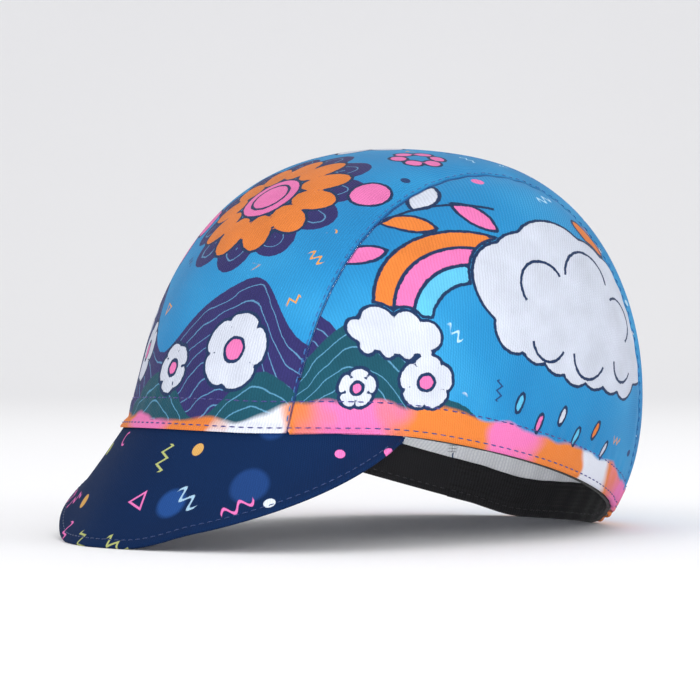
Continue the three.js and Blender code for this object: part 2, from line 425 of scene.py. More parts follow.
@dataclass(frozen=True)
class CrownRelief:
    """Low relief that cutting, sewing and handling leave in the crown's cloth.

    Sizes named round are shares of the rim. Each wander of the puckers is a reach, a length and a start.
    """

    hem_depth: float = 11.5
    hem_step: float = 0.4
    hem_step_below: float = 0.4
    hem_step_fade: float = 1.6
    edge_lift: float = 0.25
    edge_lift_height: float = 1.4
    overlap: float = 5.5
    overlap_reach: float = math.radians(70)
    overlap_fade: float = math.radians(44)
    overlap_proud: float = 0.7
    overlap_step: float = 2.5
    overlap_last_turn: float = 0.85
    drawn_height: float = 40.0
    stitch_groove: float = 0.36
    stitch_groove_width: float = 0.8
    edge_stitch_height: float = 2.5
    edge_groove: float = 0.16
    edge_groove_width: float = 0.7
    edge_roll: float = 0.45
    edge_roll_width: float = 0.45
    pucker: float = 0.17
    pucker_pitch: float = 7.0
    pucker_width: float = 5.0
    pucker_wanders: tuple[tuple[float, float, float], ...] = ((1.6, 23.0, 0.0), (1.2, 41.0, 1.0))
    gather: float = 0.9
    gathers_round: int = 56
    gather_height: float = 20.0
    gather_start_round: float = 0.36
    gather_fade_round: float = 0.07
    seam_dip: float = 1.0
    seam_dip_width: float = 6.0
    seam_dip_fade: float = 25.0
    seam_roll: float = 0.5
    seam_roll_width: float = 0.75
    seam_pucker: float = 0.18
    seam_pucker_pitch: float = 5.2
    seam_pucker_width: float = 4.0
    seam_pucker_fade: float = 8.0
    slack: float = 0.75
    slack_fade: float = 25.0
    finer_slack: float = 0.6
    finer_slack_fade: float = 40.0

    def proud(self, form: CapForm, across: np.ndarray, along: np.ndarray) -> np.ndarray:
        """Height of the cloth above the crown's plain form.

        Args:
            form: The cap's form.
            across: Places in the disc towards the wearer's left.
            along: Places in the disc towards the back.

        Returns:
            Millimetres outwards for each place.
        """
        around, height = form.rim_run(across, along), form.wall_run(across, along)
        return (
            self._hem(form, around, height)
            - self._seams(form, across, along, height)
            + self._slack(across, along, height)
        )

    def _hem(self, form: CapForm, around: np.ndarray, height: np.ndarray) -> np.ndarray:
        """Turned-up hem with its two rows of stitches, puckers and the gathers over the elastic.

        Args:
            form: The cap's form.
            around: Length round the rim from the front's middle.
            height: Length up the wall from the rim.

        Returns:
            Millimetres outwards for each place.
        """
        stepped = smooth((height - self.hem_depth + self.hem_step_below) / self.hem_step_fade)
        doubled = self.hem_step * (1 - stepped)
        grooves = self.stitch_groove * valley(height - self.hem_depth, self.stitch_groove_width)
        grooves += self.edge_groove * valley(height - self.edge_stitch_height, self.edge_groove_width)
        grooves += self.edge_roll * valley(height, self.edge_roll_width)
        wander = sum(reach * np.sin(around / length + start) for reach, length, start in self.pucker_wanders)
        puckers = self.pucker * np.sin(2 * np.pi * (around + wander) / self.pucker_pitch)
        behind = smooth((np.abs(around) / form.rim_round - self.gather_start_round) / self.gather_fade_round)
        folds = self.gather * np.sin(2 * np.pi * self.gathers_round * around / form.rim_round)
        return (
            doubled - grooves + puckers * valley(height - self.hem_depth, self.pucker_width)
            + folds * behind * np.exp(-height / self.gather_height)
        )

    def _seams(self, form: CapForm, across: np.ndarray, along: np.ndarray, height: np.ndarray) -> np.ndarray:
        """Dip beside each crown seam, its rolled edge and the tugs of its thread.

        Args:
            form: The cap's form.
            across: Places in the disc towards the wearer's left.
            along: Places in the disc towards the back.
            height: Length up the wall from the rim.

        Returns:
            Millimetres inwards for each place.
        """
        beside = form.beside_seam(across, along)
        climbed = (1 - np.hypot(across, along)) * form.crown_height
        dip = self.seam_dip * valley(beside, self.seam_dip_width) * smooth(climbed / self.seam_dip_fade)
        tugs = self.seam_pucker * np.sin(2 * np.pi * along * form.half_length / self.seam_pucker_pitch)
        near = np.exp(-beside / self.seam_pucker_width)
        rolled = self.seam_roll * valley(beside, self.seam_roll_width)
        return dip + rolled + tugs * near * smooth(height / self.seam_pucker_fade)

    def _slack(self, across: np.ndarray, along: np.ndarray, height: np.ndarray) -> np.ndarray:
        """Broad, shallow swells of loosely held cloth.

        Args:
            across: Places in the disc towards the wearer's left.
            along: Places in the disc towards the back.
            height: Length up the wall from the rim.

        Returns:
            Millimetres outwards for each place.
        """
        # Uneven numbers of waves keep the swells from repeating.
        broad = np.sin(across * 7.1 + 0.7) * np.sin(along * 5.9 - 0.4)
        finer = self.finer_slack * np.sin(across * 12.3 - along * 9.7 + 2.0)
        swell = broad + finer * smooth(height / self.finer_slack_fade)
        return self.slack * swell * smooth(height / self.slack_fade)

    def point(self, form: CapForm, across: np.ndarray, along: np.ndarray, lift: float = 0.0) -> np.ndarray:
        """Points of the sewn crown's face.

        Args:
            form: The cap's form.
            across: Places in the disc towards the wearer's left.
            along: Places in the disc towards the back.
            lift: Further height above the cloth in millimetres.

        Returns:
            Points with the rim level.
        """
        height = form.wall_run(across, along)
        drawn, over = self._overlap(across, along, height)
        proud = self.proud(form, across, along) + lift + self.overlap_proud * smooth(over / self.overlap_step)
        rise = self.edge_lift * valley(height, self.edge_lift_height) - drawn
        turn = np.arctan2(across, -along) / form.peak_spread
        # The peak's corners are too short to give a direction, so the turn stops short of them.
        downwards = unit(form.peak_fall(np.clip(turn, -self.overlap_last_turn, self.overlap_last_turn)))
        sewn = form.crown(across, along) + form.crown_normal(across, along) * proud[..., None]
        return sewn + rise[..., None] * np.array([0.0, 0.0, 1.0]) + downwards * over[..., None]

    def _overlap(self, across: np.ndarray, along: np.ndarray,
                 height: np.ndarray) -> tuple[np.ndarray, np.ndarray]:
        """How far the cloth hangs lower at the front than the crown's plain form.

        Args:
            across: Places in the disc towards the wearer's left.
            along: Places in the disc towards the back.
            height: Length up the wall from the rim.

        Returns:
            Millimetres down the wall, and millimetres further on over the peak's root.
        """
        turn = np.abs(np.arctan2(across, -along))
        drop = self.overlap * smooth((self.overlap_reach - turn) / self.overlap_fade)
        drawn = drop * (1 - smooth(height / self.drawn_height))
        over = np.maximum(drawn - height, 0.0)
        return drawn - over, over


# Shapes of the print

class Ink(Enum):
    """Inks of the print in the order in which they are laid down, each with its colour."""

    PURPLE = "#302D69"
    TEAL = "#115062"
    LIGHT = "#62C4EC"
    WHITE = "#D5DBEA"
    ORANGE = "#E88238"
    PINK = "#F07ABA"

    @property
    def attribute(self) -> str:
        """Name of the mesh attribute that holds the ink's distance in millimetres."""
        return f"print_{self.name.lower()}"


class Motif(Protocol):
    """Figure of the print in one ink."""

    ink: Ink

    def distance(self, u: np.ndarray, v: np.ndarray) -> np.ndarray:
        """Signed distance to the figure's outline, below zero inside it."""


@dataclass(frozen=True)
class Spot:
    """Oval spot."""

    ink: Ink
    across: float
    up: float
    width: float
    height: float
    turn: float = 0.0
    least_slope: float = 1e-6

    def distance(self, u: np.ndarray, v: np.ndarray) -> np.ndarray:
        """Signed distance to the oval, true beside its outline.

        Args:
            u: Places across, in millimetres of cloth.
            v: Places up, in millimetres of cloth.

        Returns:
            Millimetres to the outline, below zero inside it.
        """
        cosine, sine = math.cos(self.turn), math.sin(self.turn)
        x = ((u - self.across) * cosine + (v - self.up) * sine) * 2 / self.width
        y = ((v - self.up) * cosine - (u - self.across) * sine) * 2 / self.height
        first = np.hypot(x, y)
        slope = np.maximum(np.hypot(x * 2 / self.width, y * 2 / self.height), self.least_slope)
        return first * (first - 1) / slope


@dataclass(frozen=True)
class Leaf:
    """Leaf with two pointed ends."""

    ink: Ink
    across: float
    up: float
    length: float
    width: float
    turn: float

    def distance(self, u: np.ndarray, v: np.ndarray) -> np.ndarray:
        """Signed distance to the nearer of the two arcs that bound the leaf.

        Args:
            u: Places across, in millimetres of cloth.
            v: Places up, in millimetres of cloth.

        Returns:
            Millimetres to the outline, below zero inside it.
        """
        cosine, sine = math.cos(self.turn), math.sin(self.turn)
        x = (u - self.across) * cosine + (v - self.up) * sine
        y = (v - self.up) * cosine - (u - self.across) * sine
        radius = (self.length ** 2 + self.width ** 2) / (4 * self.width)
        return np.hypot(x, np.abs(y) + radius - self.width / 2) - radius


@dataclass(frozen=True)
class Cluster:
    """Spots that join into one figure."""

    ink: Ink
    spots: tuple[Spot, ...]

    def distance(self, u: np.ndarray, v: np.ndarray) -> np.ndarray:
        """Signed distance to the joined outline."""
        return np.minimum.reduce([spot.distance(u, v) for spot in self.spots])


@dataclass(frozen=True)
class Bow:
    """Upper half of a ring, such as one band of a rainbow."""

    ink: Ink
    across: float
    up: float
    radius: float
    width: float

    def distance(self, u: np.ndarray, v: np.ndarray) -> np.ndarray:
        """Signed distance to the band's edges."""
        ring = np.abs(np.hypot(u - self.across, v - self.up) - self.radius) - self.width / 2
        return np.maximum(ring, self.up - v)


@dataclass(frozen=True)
class Behind:
    """Motif that stops short of another that lies in front of it."""

    motif: Motif
    cover: Motif
    gap: float = 1.2

    @property
    def ink(self) -> Ink:
        """Ink of the motif behind."""
        return self.motif.ink

    def distance(self, u: np.ndarray, v: np.ndarray) -> np.ndarray:
        """Signed distance to the part that shows."""
        return np.maximum(self.motif.distance(u, v), self.gap - self.cover.distance(u, v))


def petals(ink: Ink, across: float, up: float, radius: float, count: int, width: float,
           turn: float = 0.0) -> Cluster:
    """Ring of oval petals.

    Args:
        ink: Their ink.
        across: Centre across.
        up: Centre above the hem.
        radius: Reach of the petals' tips.
        count: Number of petals.
        width: Width of one petal.
        turn: Angle of the first petal.

    Returns:
        The joined petals.
    """
    length = radius * PETAL_SHARE
    middle = radius - length / 2
    angles = [turn + 2 * math.pi * petal / count for petal in range(count)]
    return Cluster(ink, tuple(
        Spot(ink, across + middle * math.cos(angle), up + middle * math.sin(angle), length, width, angle)
        for angle in angles
    ))


def cloud(ink: Ink, across: float, up: float, width: float, height: float, puffs: int) -> Cluster:
    """Cloud of round puffs over a softly scalloped base.

    Args:
        ink: Its ink.
        across: Centre across.
        up: Centre above the hem.
        width: Its width.
        height: Its height.
        puffs: Number of puffs above, and of scallops below.

    Returns:
        The joined puffs.
    """
    # The bare numbers are shares of the cloud's width and height.
    spots = [Spot(ink, across, up, width * 0.8, height * 0.62)]
    for puff in range(puffs):
        angle = math.pi * (puff + 0.5) / puffs
        size = height * (0.42 + 0.2 * math.sin(angle) + 0.05 * (-1) ** puff)
        middle = (across + width * 0.36 * math.cos(angle), up + height * 0.26 * math.sin(angle))
        spots.append(Spot(ink, *middle, size, size))
        share = (puff + 0.5) / puffs - 0.5
        size = height * (0.34 - 0.1 * abs(share))
        base = up - height * (0.24 - 0.12 * abs(share))
        spots.append(Spot(ink, across + width * 0.78 * share, base, size, size))
    return Cluster(ink, tuple(spots))


def sprig(across: float, up: float, radius: float, start: float, end: float, leaves: int, spread: float = 5.0,
          lean: float = 0.7, length: float = 17.0, width: float = 8.0) -> list[Leaf]:
    """Leaves of alternating inks along an arc, leaning to either side in turn.

    Args:
        across: Arc's centre across the panel, in millimetres of cloth.
        up: Arc's centre above the hem.
        radius: Arc's radius.
        start: Angle of the first leaf.
        end: Angle of the last leaf.
        leaves: Number of leaves.
        spread: Distance of the leaves' middles from the arc.
        lean: Angle of the leaves to the arc.
        length: Length of one leaf.
        width: Width of one leaf.

    Returns:
        The leaves.
    """
    inks = (Ink.PINK, Ink.WHITE, Ink.ORANGE, Ink.LIGHT)
    made = []
    for place in range(leaves):
        angle = mix(start, end, place / (leaves - 1))
        side = 1 if place % 2 else -1
        at = radius + side * spread
        middle = (across + at * math.cos(angle), up + at * math.sin(angle))
        made.append(Leaf(inks[place % len(inks)], *middle, length, width, angle + math.pi / 2 + side * lean))
    return made


def blossom(around: float, height: float, radius: float) -> list[Motif]:
    """White blossom of five petals with a pink middle.

    Args:
        around: Centre round the rim, which also turns the blossom, so that no two stand alike.
        height: Centre above the hem.
        radius: Reach of the petals' tips.

    Returns:
        The blossom's motifs, whose bare numbers are shares of the radius.
    """
    turn = around * 0.37
    return [
        Spot(Ink.WHITE, around, height, radius * 1.3, radius * 1.3),
        petals(Ink.WHITE, around, height, radius, 5, radius, turn),
        Spot(Ink.PINK, around, height, radius * 0.6, radius * 0.6),
    ]


@dataclass(frozen=True)
class Swell:
    """Row of rounded waves above the hem, given round the rim, which ends in a slope on either side.

    The waves' tops are narrower than their troughs are wide, by the power, and ripple a little.
    """

    ink: Ink
    base: float
    crest: float
    length: float
    peak_at: float
    reach: float
    fade: float
    power: float = 1.9
    ripple: float = 1.2
    ripple_length: float = 4.6
    sunk: float = 6.0

    def distance(self, around: np.ndarray, height: np.ndarray) -> np.ndarray:
        """Height above the waves' top edge.

        Args:
            around: Length round the rim from the front's middle.
            height: Length up the wall from the rim.

        Returns:
            Millimetres above the edge, below zero under it.
        """
        slope = np.abs(np.sin(np.pi * (around - self.peak_at) / self.length))
        left = 1 - smooth((np.abs(around) - self.reach) / self.fade)
        ripple = self.ripple * np.sin(around / self.ripple_length)
        top = (self.base + self.crest * (1 - slope ** self.power) + ripple) * left - self.sunk * (1 - left)
        return height - top


@dataclass(frozen=True)
class Curl:
    """Arc drawn as a thin dark line."""

    across: float
    up: float
    radius: float
    start: float
    end: float
    nearby: float = 2.5

    def line(self, u: np.ndarray, v: np.ndarray) -> tuple[np.ndarray, np.ndarray]:
        """Where each place lies by the arc.

        Args:
            u: Places across, in millimetres of cloth.
            v: Places up, in millimetres of cloth.

        Returns:
            Distance across the arc's line, and a distance that is below zero only beside the arc itself.
        """
        off = np.hypot(u - self.across, v - self.up) - self.radius
        middle, half = (self.start + self.end) / 2, (self.end - self.start) / 2
        angle = np.arctan2(v - self.up, u - self.across) - middle
        swing = np.abs((angle + np.pi) % (2 * np.pi) - np.pi)
        return off, np.maximum((swing - half) * self.radius, np.abs(off) - self.nearby)


@dataclass(frozen=True)
class Print:
    """Motifs of one panel. Cloth motifs and curls lie in its own measure, hem motifs round the rim."""

    cloth: Sequence[Motif]
    hem: Sequence[Motif]
    curls: Sequence[Curl] = ()

    def fields(self, u: np.ndarray, v: np.ndarray, around: np.ndarray,
               height: np.ndarray) -> dict[str, np.ndarray]:
        """Distances to each ink's nearest motif and to the nearest curl.

        Args:
            u: Panel's measure across or along, in millimetres of cloth.
            v: Panel's measure up from the hem.
            around: Length round the rim from the front's middle.
            height: Length up the wall from the rim.

        Returns:
            Values by the name of the attribute that holds them.
        """
        made = {ink.attribute: np.full(u.shape, NO_INK) for ink in Ink}
        for motif in self.cloth:
            made[motif.ink.attribute] = np.minimum(made[motif.ink.attribute], motif.distance(u, v))
        for motif in self.hem:
            made[motif.ink.attribute] = np.minimum(made[motif.ink.attribute], motif.distance(around, height))
        off, beside = np.full(u.shape, NO_INK), np.full(u.shape, NO_INK)
        for curl in self.curls:
            new_off, new_beside = curl.line(u, v)
            nearer = np.maximum(np.abs(new_off), new_beside) < np.maximum(np.abs(off), beside)
            off, beside = np.where(nearer, new_off, off), np.where(nearer, new_beside, beside)
        return {**made, "curl_off": off, "curl_beside": beside}


def centre_print() -> Print:
    """Print of the centre panel: a big flower over the waves, a daisy on the top and a cloud behind it.

    Returns:
        Motifs measured from the middle line and the front hem.
    """
    flower = [
        petals(Ink.PURPLE, 8.0, 94.0, 38.0, 11, 17.0, 0.28),
        petals(Ink.ORANGE, 8.0, 94.0, 31.0, 11, 12.5),
        Spot(Ink.PINK, 8.0, 94.0, 24.0, 24.0),
        Spot(Ink.WHITE, 8.0, 94.0, 7.0, 7.0),
        Spot(Ink.PINK, 47.0, 104.0, 15.0, 16.0), Spot(Ink.PINK, -35.0, 86.0, 14.0, 16.0),
    ]
    daisy = [petals(Ink.WHITE, -10.0, 162.0, 28.0, 9, 12.5, 0.3), Spot(Ink.PINK, -10.0, 162.0, 16.0, 16.0)]
    behind = [cloud(Ink.WHITE, -10.0, 262.0, 70.0, 38.0, 6), *sprig(2.0, 206.0, 28.0, 0.3, 2.7, 6)]
    side = [*sprig(-10.0, 96.0, 46.0, 2.35, 3.75, 5), petals(Ink.PINK, 38.0, 142.0, 11.0, 6, 7.5)]
    curls = [
        Curl(8.0, 94.0, 7.6, -3.1, 3.1),
        Curl(-24.0, 264.0, 8.0, 0.4, 3.6), Curl(-2.0, 272.0, 9.0, 0.2, 3.2), Curl(12.0, 260.0, 8.0, 3.6, 6.0),
    ]
    hem = [
        Swell(Ink.PURPLE, base=27.0, crest=27.0, length=76.0, peak_at=28.0, reach=96.0, fade=30.0),
        Swell(Ink.TEAL, base=6.0, crest=15.0, length=52.0, peak_at=-6.0, reach=96.0, fade=30.0),
        *blossom(31.0, 27.0, 13.0), *blossom(2.0, 21.0, 8.5),
        *blossom(-30.0, 27.0, 11.0), *blossom(-52.0, 38.0, 8.0),
    ]
    return Print([*flower, *daisy, *behind, *side], hem, curls)


def left_print() -> Print:
    """Print of the wearer's left side: a rainbow and a sun behind a large cloud, and a sprig by the seam.

    Returns:
        Motifs measured from the ear and the hem.
    """
    front = cloud(Ink.WHITE, 22.0, 58.0, 106.0, 64.0, 7)
    foot = cloud(Ink.WHITE, -63.0, 35.0, 38.0, 20.0, 4)
    cover = Cluster(Ink.WHITE, front.spots + foot.spots)
    rain = [
        Spot(ink, -6.0 + 13.0 * place, 17.0 + 2.6 * (-1) ** place, 3.4, 7.6, -0.25)
        for place, ink in enumerate((Ink.LIGHT, Ink.PINK, Ink.WHITE, Ink.LIGHT, Ink.ORANGE, Ink.WHITE))
    ]
    cloth = [
        cover, *rain, *sprig(-24.0, 30.0, 62.0, 1.62, 2.62, 6),
        *(Behind(Bow(ink, -28.0, 38.0, radius, 6.8), cover)
          for ink, radius in ((Ink.ORANGE, 38.0), (Ink.PINK, 31.2), (Ink.LIGHT, 24.4))),
        Behind(petals(Ink.ORANGE, 42.0, 88.0, 31.0, 14, 8.0), cover),
    ]
    curls = [
        Curl(-24.0, 30.0, 62.0, 1.5, 2.7), Curl(34.0, 98.0, 8.0, 0.3, 2.8),
        Curl(-2.0, 64.0, 10.0, 0.7, 3.9), Curl(20.0, 74.0, 12.0, 0.3, 3.3), Curl(43.0, 66.0, 10.0, -0.6, 2.5),
        Curl(4.0, 46.0, 9.0, 3.5, 5.9), Curl(28.0, 46.0, 10.0, 3.4, 6.0), Curl(52.0, 50.0, 8.0, 3.4, 6.2),
    ]
    hem = [
        Swell(Ink.PURPLE, base=24.0, crest=18.0, length=70.0, peak_at=52.0, reach=70.0, fade=46.0),
        Swell(Ink.TEAL, base=20.0, crest=21.0, length=58.0, peak_at=79.0, reach=100.0, fade=44.0),
        *blossom(103.0, 20.0, 10.0), *blossom(79.0, 16.0, 7.0),
    ]
    return Print(cloth, hem, curls)


def right_print() -> Print:
    """Print of the wearer's right side: a large flower between two clouds, and a rainbow.

    Returns:
        Motifs measured from the ear and the hem.
    """
    high = cloud(Ink.WHITE, -34.0, 70.0, 62.0, 38.0, 6)
    backing = petals(Ink.PURPLE, 30.0, 62.0, 40.0, 12, 17.0, 0.36)
    cover = Cluster(Ink.WHITE, high.spots + backing.spots)
    cloth = [
        high, cloud(Ink.WHITE, 58.0, 24.0, 40.0, 20.0, 5),
        backing, petals(Ink.ORANGE, 30.0, 62.0, 34.0, 12, 12.5, 0.1),
        Spot(Ink.PINK, 30.0, 62.0, 26.0, 26.0), Spot(Ink.WHITE, 30.0, 62.0, 8.0, 8.0),
        *(Behind(Bow(ink, -30.0, 24.0, radius, 6.2), cover)
          for ink, radius in ((Ink.PINK, 34.0), (Ink.LIGHT, 27.4))),
        *sprig(0.0, 22.0, 84.0, 1.1, 1.95, 6),
    ]
    curls = [
        Curl(30.0, 62.0, 8.4, -3.1, 3.1), Curl(0.0, 22.0, 84.0, 1.0, 2.05),
        Curl(-46.0, 72.0, 7.0, 0.5, 3.7), Curl(-30.0, 78.0, 8.0, 0.2, 3.1), Curl(-18.0, 68.0, 7.0, 3.6, 6.0),
    ]
    hem = [
        Swell(Ink.PURPLE, base=24.0, crest=16.0, length=64.0, peak_at=-60.0, reach=78.0, fade=46.0),
        Swell(Ink.TEAL, base=18.0, crest=19.0, length=52.0, peak_at=-96.0, reach=112.0, fade=44.0),
        *blossom(-72.0, 26.0, 11.0), *blossom(-98.0, 20.0, 9.0), *blossom(-124.0, 15.0, 7.0),
    ]
    return Print(cloth, hem, curls)


# Finishes

@dataclass(frozen=True)
class Surface:
    """How a cloth takes the light: plain gloss, bloom of loose fibre, and depth of its relief in metres."""

    roughness: float
    gloss: float
    sheen: float
    depth: float
    sheen_roughness: float = 0.45


class Nodes:
    """Node tree of one material, to which nodes are added with their settings and links."""

    def __init__(self, name: str) -> None:
        """Start an empty material of that name."""
        self.material = bpy.data.materials.new(name)
        self.material.use_nodes = True
        self.tree = self.material.node_tree
        self.tree.nodes.clear()

    def add(self, kind: str, *values: object, out: int | str = 0, inputs: dict | None = None,
            **settings: object) -> Socket:
        """Add one node.

        Args:
            kind: Type of node without its ShaderNode prefix, and its operation after a point.
            *values: Numbers or sockets for the first inputs. A mix of colours takes a share and two colours.
            out: Output to return.
            inputs: Values or sockets by the name or number of the input that takes them.
            **settings: Properties of the node.

        Returns:
            The chosen output of the new node.
        """
        kind, _, operation = kind.partition(".")
        node = self.tree.nodes.new(f"ShaderNode{kind}")
        if operation:
            settings["operation"] = operation
        for name, value in settings.items():
            setattr(node, name, value)
        colours = settings.get("data_type") == "RGBA"
        places = (0, 6, 7) if colours else range(len(values))
        for name, value in {**dict(zip(places, values)), **(inputs or {})}.items():
            if isinstance(value, Socket):
                self.tree.links.new(value, node.inputs[name])
            else:
                node.inputs[name].default_value = value
        return node.outputs[2 if colours else out]

    def inside(self, distance: Socket, soft: float, reach: float = 0.0) -> Socket:
        """Share of ink where a distance is below a reach, with an edge of a given softness."""
        return self.add("Math.MULTIPLY_ADD", distance, -1 / soft, reach / soft + 0.5, use_clamp=True)

    def ramp(self, value: Socket, stops: Sequence[tuple[float, str]],
             interpolation: str = "LINEAR") -> Socket:
        """Turn a value into a colour.

        Args:
            value: Number from 0 to 1.
            stops: Places and hex colours.
            interpolation: How colours pass into each other.

        Returns:
            The colour.
        """
        colour = self.add("ValToRGB", value)
        scale = colour.node.color_ramp
        scale.interpolation = interpolation
        while len(scale.elements) < len(stops):
            scale.elements.new(1.0)
        for element, (place, hex_colour) in zip(scale.elements, stops):
            element.position = place
            element.color = linear(hex_colour)
        return colour

    def finish(self, colour: Socket, relief: Socket, surface: Surface) -> bpy.types.Material:
        """Close the tree with a cloth shader.

        Args:
            colour: Colour of the cloth.
            relief: Height of its face from 0 to 1.
            surface: How it takes the light.

        Returns:
            The finished material.
        """
        bump = self.add("Bump", inputs={"Strength": 1.0, "Distance": surface.depth, "Height": relief})
        cloth = self.add("BsdfPrincipled", inputs={
            "Base Color": colour, "Roughness": surface.roughness, "Specular IOR Level": surface.gloss,
            "Sheen Weight": surface.sheen, "Sheen Roughness": surface.sheen_roughness, "Normal": bump,
        })
        end = self.tree.nodes.new("ShaderNodeOutputMaterial")
        self.tree.links.new(cloth, end.inputs["Surface"])
        return self.material


@dataclass(frozen=True)
class Knit:
    """Gauge of a knit: ribs of loops along the cloth and rows of loops across it, in millimetres."""

    wale: float
    course: float
    wander: float = 0.9
    wander_scale: float = 0.35
    rib_share: float = 0.3
    loop_share: float = 0.2

    def relief(self, nodes: Nodes, cloth: Socket) -> Socket:
        """Height of the loops.

        Args:
            nodes: Tree that takes the nodes.
            cloth: Place on the cloth in millimetres.

        Returns:
            Height from 0 between the loops to 1 on them.
        """
        field_inputs = {"Vector": cloth, "Scale": self.wander_scale, "Detail": 1.0}
        wander = nodes.add("TexNoise", inputs=field_inputs, out="Color")
        bent = nodes.add("VectorMath.SUBTRACT", wander, (0.5, 0.5, 0.5))
        drawn = nodes.add("VectorMath.MULTIPLY_ADD", bent, (self.wander, self.wander, 0.0), cloth)
        turns = (2 * math.pi / self.wale, 2 * math.pi / self.course, 0.0)
        angle = nodes.add("SeparateXYZ", nodes.add("VectorMath.MULTIPLY", drawn, turns))
        ribs = nodes.add("Math.COSINE", angle)
        swing = nodes.add("Math.COSINE", nodes.add("Math.MULTIPLY", angle, 0.5))
        row = nodes.add("Math.SINE", angle.node.outputs[1])
        loops = nodes.add("Math.MULTIPLY", swing, row)
        ribbed = nodes.add("Math.MULTIPLY_ADD", ribs, self.rib_share, 0.5)
        return nodes.add("Math.MULTIPLY_ADD", loops, self.loop_share, ribbed)


@dataclass(frozen=True)
class Confetti:
    """Scattered little figures, one to a cell of the cloth: spots, rings, zigzags, squiggles and triangles.

    origin and partner, in cells, only choose which random figures fall where.
    """

    cell: float
    share: float
    stroke: float
    size: float
    inks: tuple[str, ...]
    spots_only: bool = False
    soft: float = 0.25
    figure_picks: tuple[float, float, float, float] = (0.38, 0.5, 0.66, 0.86)
    origin: tuple[float, float, float] = (40.3, 40.6, 0.0)
    partner: tuple[float, float, float] = (17.0, 5.0, 0.0)

    def lay(self, nodes: Nodes, cloth: Socket, ground: Socket, clear: Socket | float = 1.0) -> Socket:
        """Print the figures on a ground.

        Args:
            nodes: Tree that takes the nodes.
            cloth: Place on the cloth in millimetres.
            ground: Colour below the figures.
            clear: Share of the figures that shows, 0 where other motifs lie.

        Returns:
            Colour with the figures on it.
        """
        scaled = nodes.add("VectorMath.MULTIPLY_ADD", cloth, (1 / self.cell,) * 3, self.origin)
        cell = nodes.add("VectorMath.FLOOR", scaled)
        first = nodes.add("TexWhiteNoise", inputs={"Vector": cell}, out="Color", noise_dimensions="2D")
        other_cell = nodes.add("VectorMath.ADD", cell, self.partner)
        second = nodes.add("TexWhiteNoise", inputs={"Vector": other_cell}, out="Color", noise_dimensions="2D")
        turn = nodes.add("SeparateColor", first, out=2)
        pick = nodes.add("SeparateColor", second)
        centre = nodes.add("VectorMath.MULTIPLY_ADD", first, (-0.5,) * 3, (-0.25,) * 3)
        from_centre = nodes.add("VectorMath.ADD", nodes.add("VectorMath.FRACTION", scaled), centre)
        measured = nodes.add("VectorMath.MULTIPLY", from_centre, (self.cell, self.cell, 0.0))
        angle = nodes.add("Math.MULTIPLY", turn, 2 * math.pi)
        swung = {"Vector": measured, "Angle": angle}
        turned = nodes.add("VectorRotate", inputs=swung, rotation_type="Z_AXIS")
        away = nodes.add("VectorMath.LENGTH", turned, out="Value")
        radius = nodes.add("Math.MULTIPLY_ADD", pick.node.outputs[1], 0.5 * self.size, 0.65 * self.size)
        figure = nodes.add("Math.SUBTRACT", away, radius)
        if not self.spots_only:
            figure = self._figure(nodes, figure, turned, away, pick)
        there = nodes.add("Math.LESS_THAN", pick.node.outputs[2], self.share)
        shown = nodes.add("Math.MULTIPLY", nodes.inside(figure, self.soft), there)
        free = nodes.add("Math.MULTIPLY", shown, clear)
        stops = [(place / len(self.inks), ink) for place, ink in enumerate(self.inks)]
        ink = nodes.ramp(first.node.outputs["Value"], stops, "CONSTANT")
        return nodes.add("Mix", free, ground, ink, data_type="RGBA")

    def _figure(self, nodes: Nodes, spot: Socket, turned: Socket, away: Socket, pick: Socket) -> Socket:
        """Distance to the figure that the cell's pick chooses.

        Args:
            nodes: Tree that takes the nodes.
            spot: Distance to the plain spot.
            turned: Place from the figure's middle.
            away: Distance from the figure's middle.
            pick: Number from 0 to 1 that is the same all over the cell.

        Returns:
            Distance to the figure's outline, below zero inside it.
        """
        # The bare numbers are shares of the figure's size, and slopes that keep its stroke even.
        half, size = self.stroke / 2, self.size
        x = nodes.add("SeparateXYZ", turned)
        y = x.node.outputs[1]
        reach = nodes.add("Math.ABSOLUTE", x)
        ends = nodes.add("Math.SUBTRACT", reach, 2.2 * size)
        ring = nodes.add("Math.ABSOLUTE", nodes.add("Math.SUBTRACT", away, size))
        ring = nodes.add("Math.SUBTRACT", ring, half)
        ring = nodes.add("Math.MAXIMUM", ring, nodes.add("Math.MULTIPLY_ADD", y, -1.0, -0.3 * size))
        zig = nodes.add("Math.MULTIPLY_ADD", nodes.add("Math.PINGPONG", x, 0.95 * size), 1.5, -0.7 * size)
        zig = nodes.add("Math.ABSOLUTE", nodes.add("Math.SUBTRACT", y, zig))
        zigzag = nodes.add("Math.MAXIMUM", nodes.add("Math.MULTIPLY_ADD", zig, 0.55, -half), ends)
        wave = nodes.add("Math.SINE", nodes.add("Math.MULTIPLY", x, 2.9 / size))
        wave = nodes.add("Math.ABSOLUTE", nodes.add("Math.MULTIPLY_ADD", wave, -0.75 * size, y))
        squiggle = nodes.add("Math.MAXIMUM", nodes.add("Math.MULTIPLY_ADD", wave, 0.5, -half), ends)
        slant = nodes.add("Math.MULTIPLY_ADD", reach, 0.866, nodes.add("Math.MULTIPLY", y, 0.5))
        sides = nodes.add("Math.MAXIMUM", slant, nodes.add("Math.MULTIPLY", y, -1.0))
        side = nodes.add("Math.ABSOLUTE", nodes.add("Math.SUBTRACT", sides, 0.75 * size))
        triangle = nodes.add("Math.SUBTRACT", side, half)
        figure = spot
        for above, other in zip(self.figure_picks, (ring, zigzag, squiggle, triangle)):
            chosen = nodes.add("Math.GREATER_THAN", pick, above)
            figure = nodes.add("Mix", inputs={0: chosen, 2: figure, 3: other})
        return figure


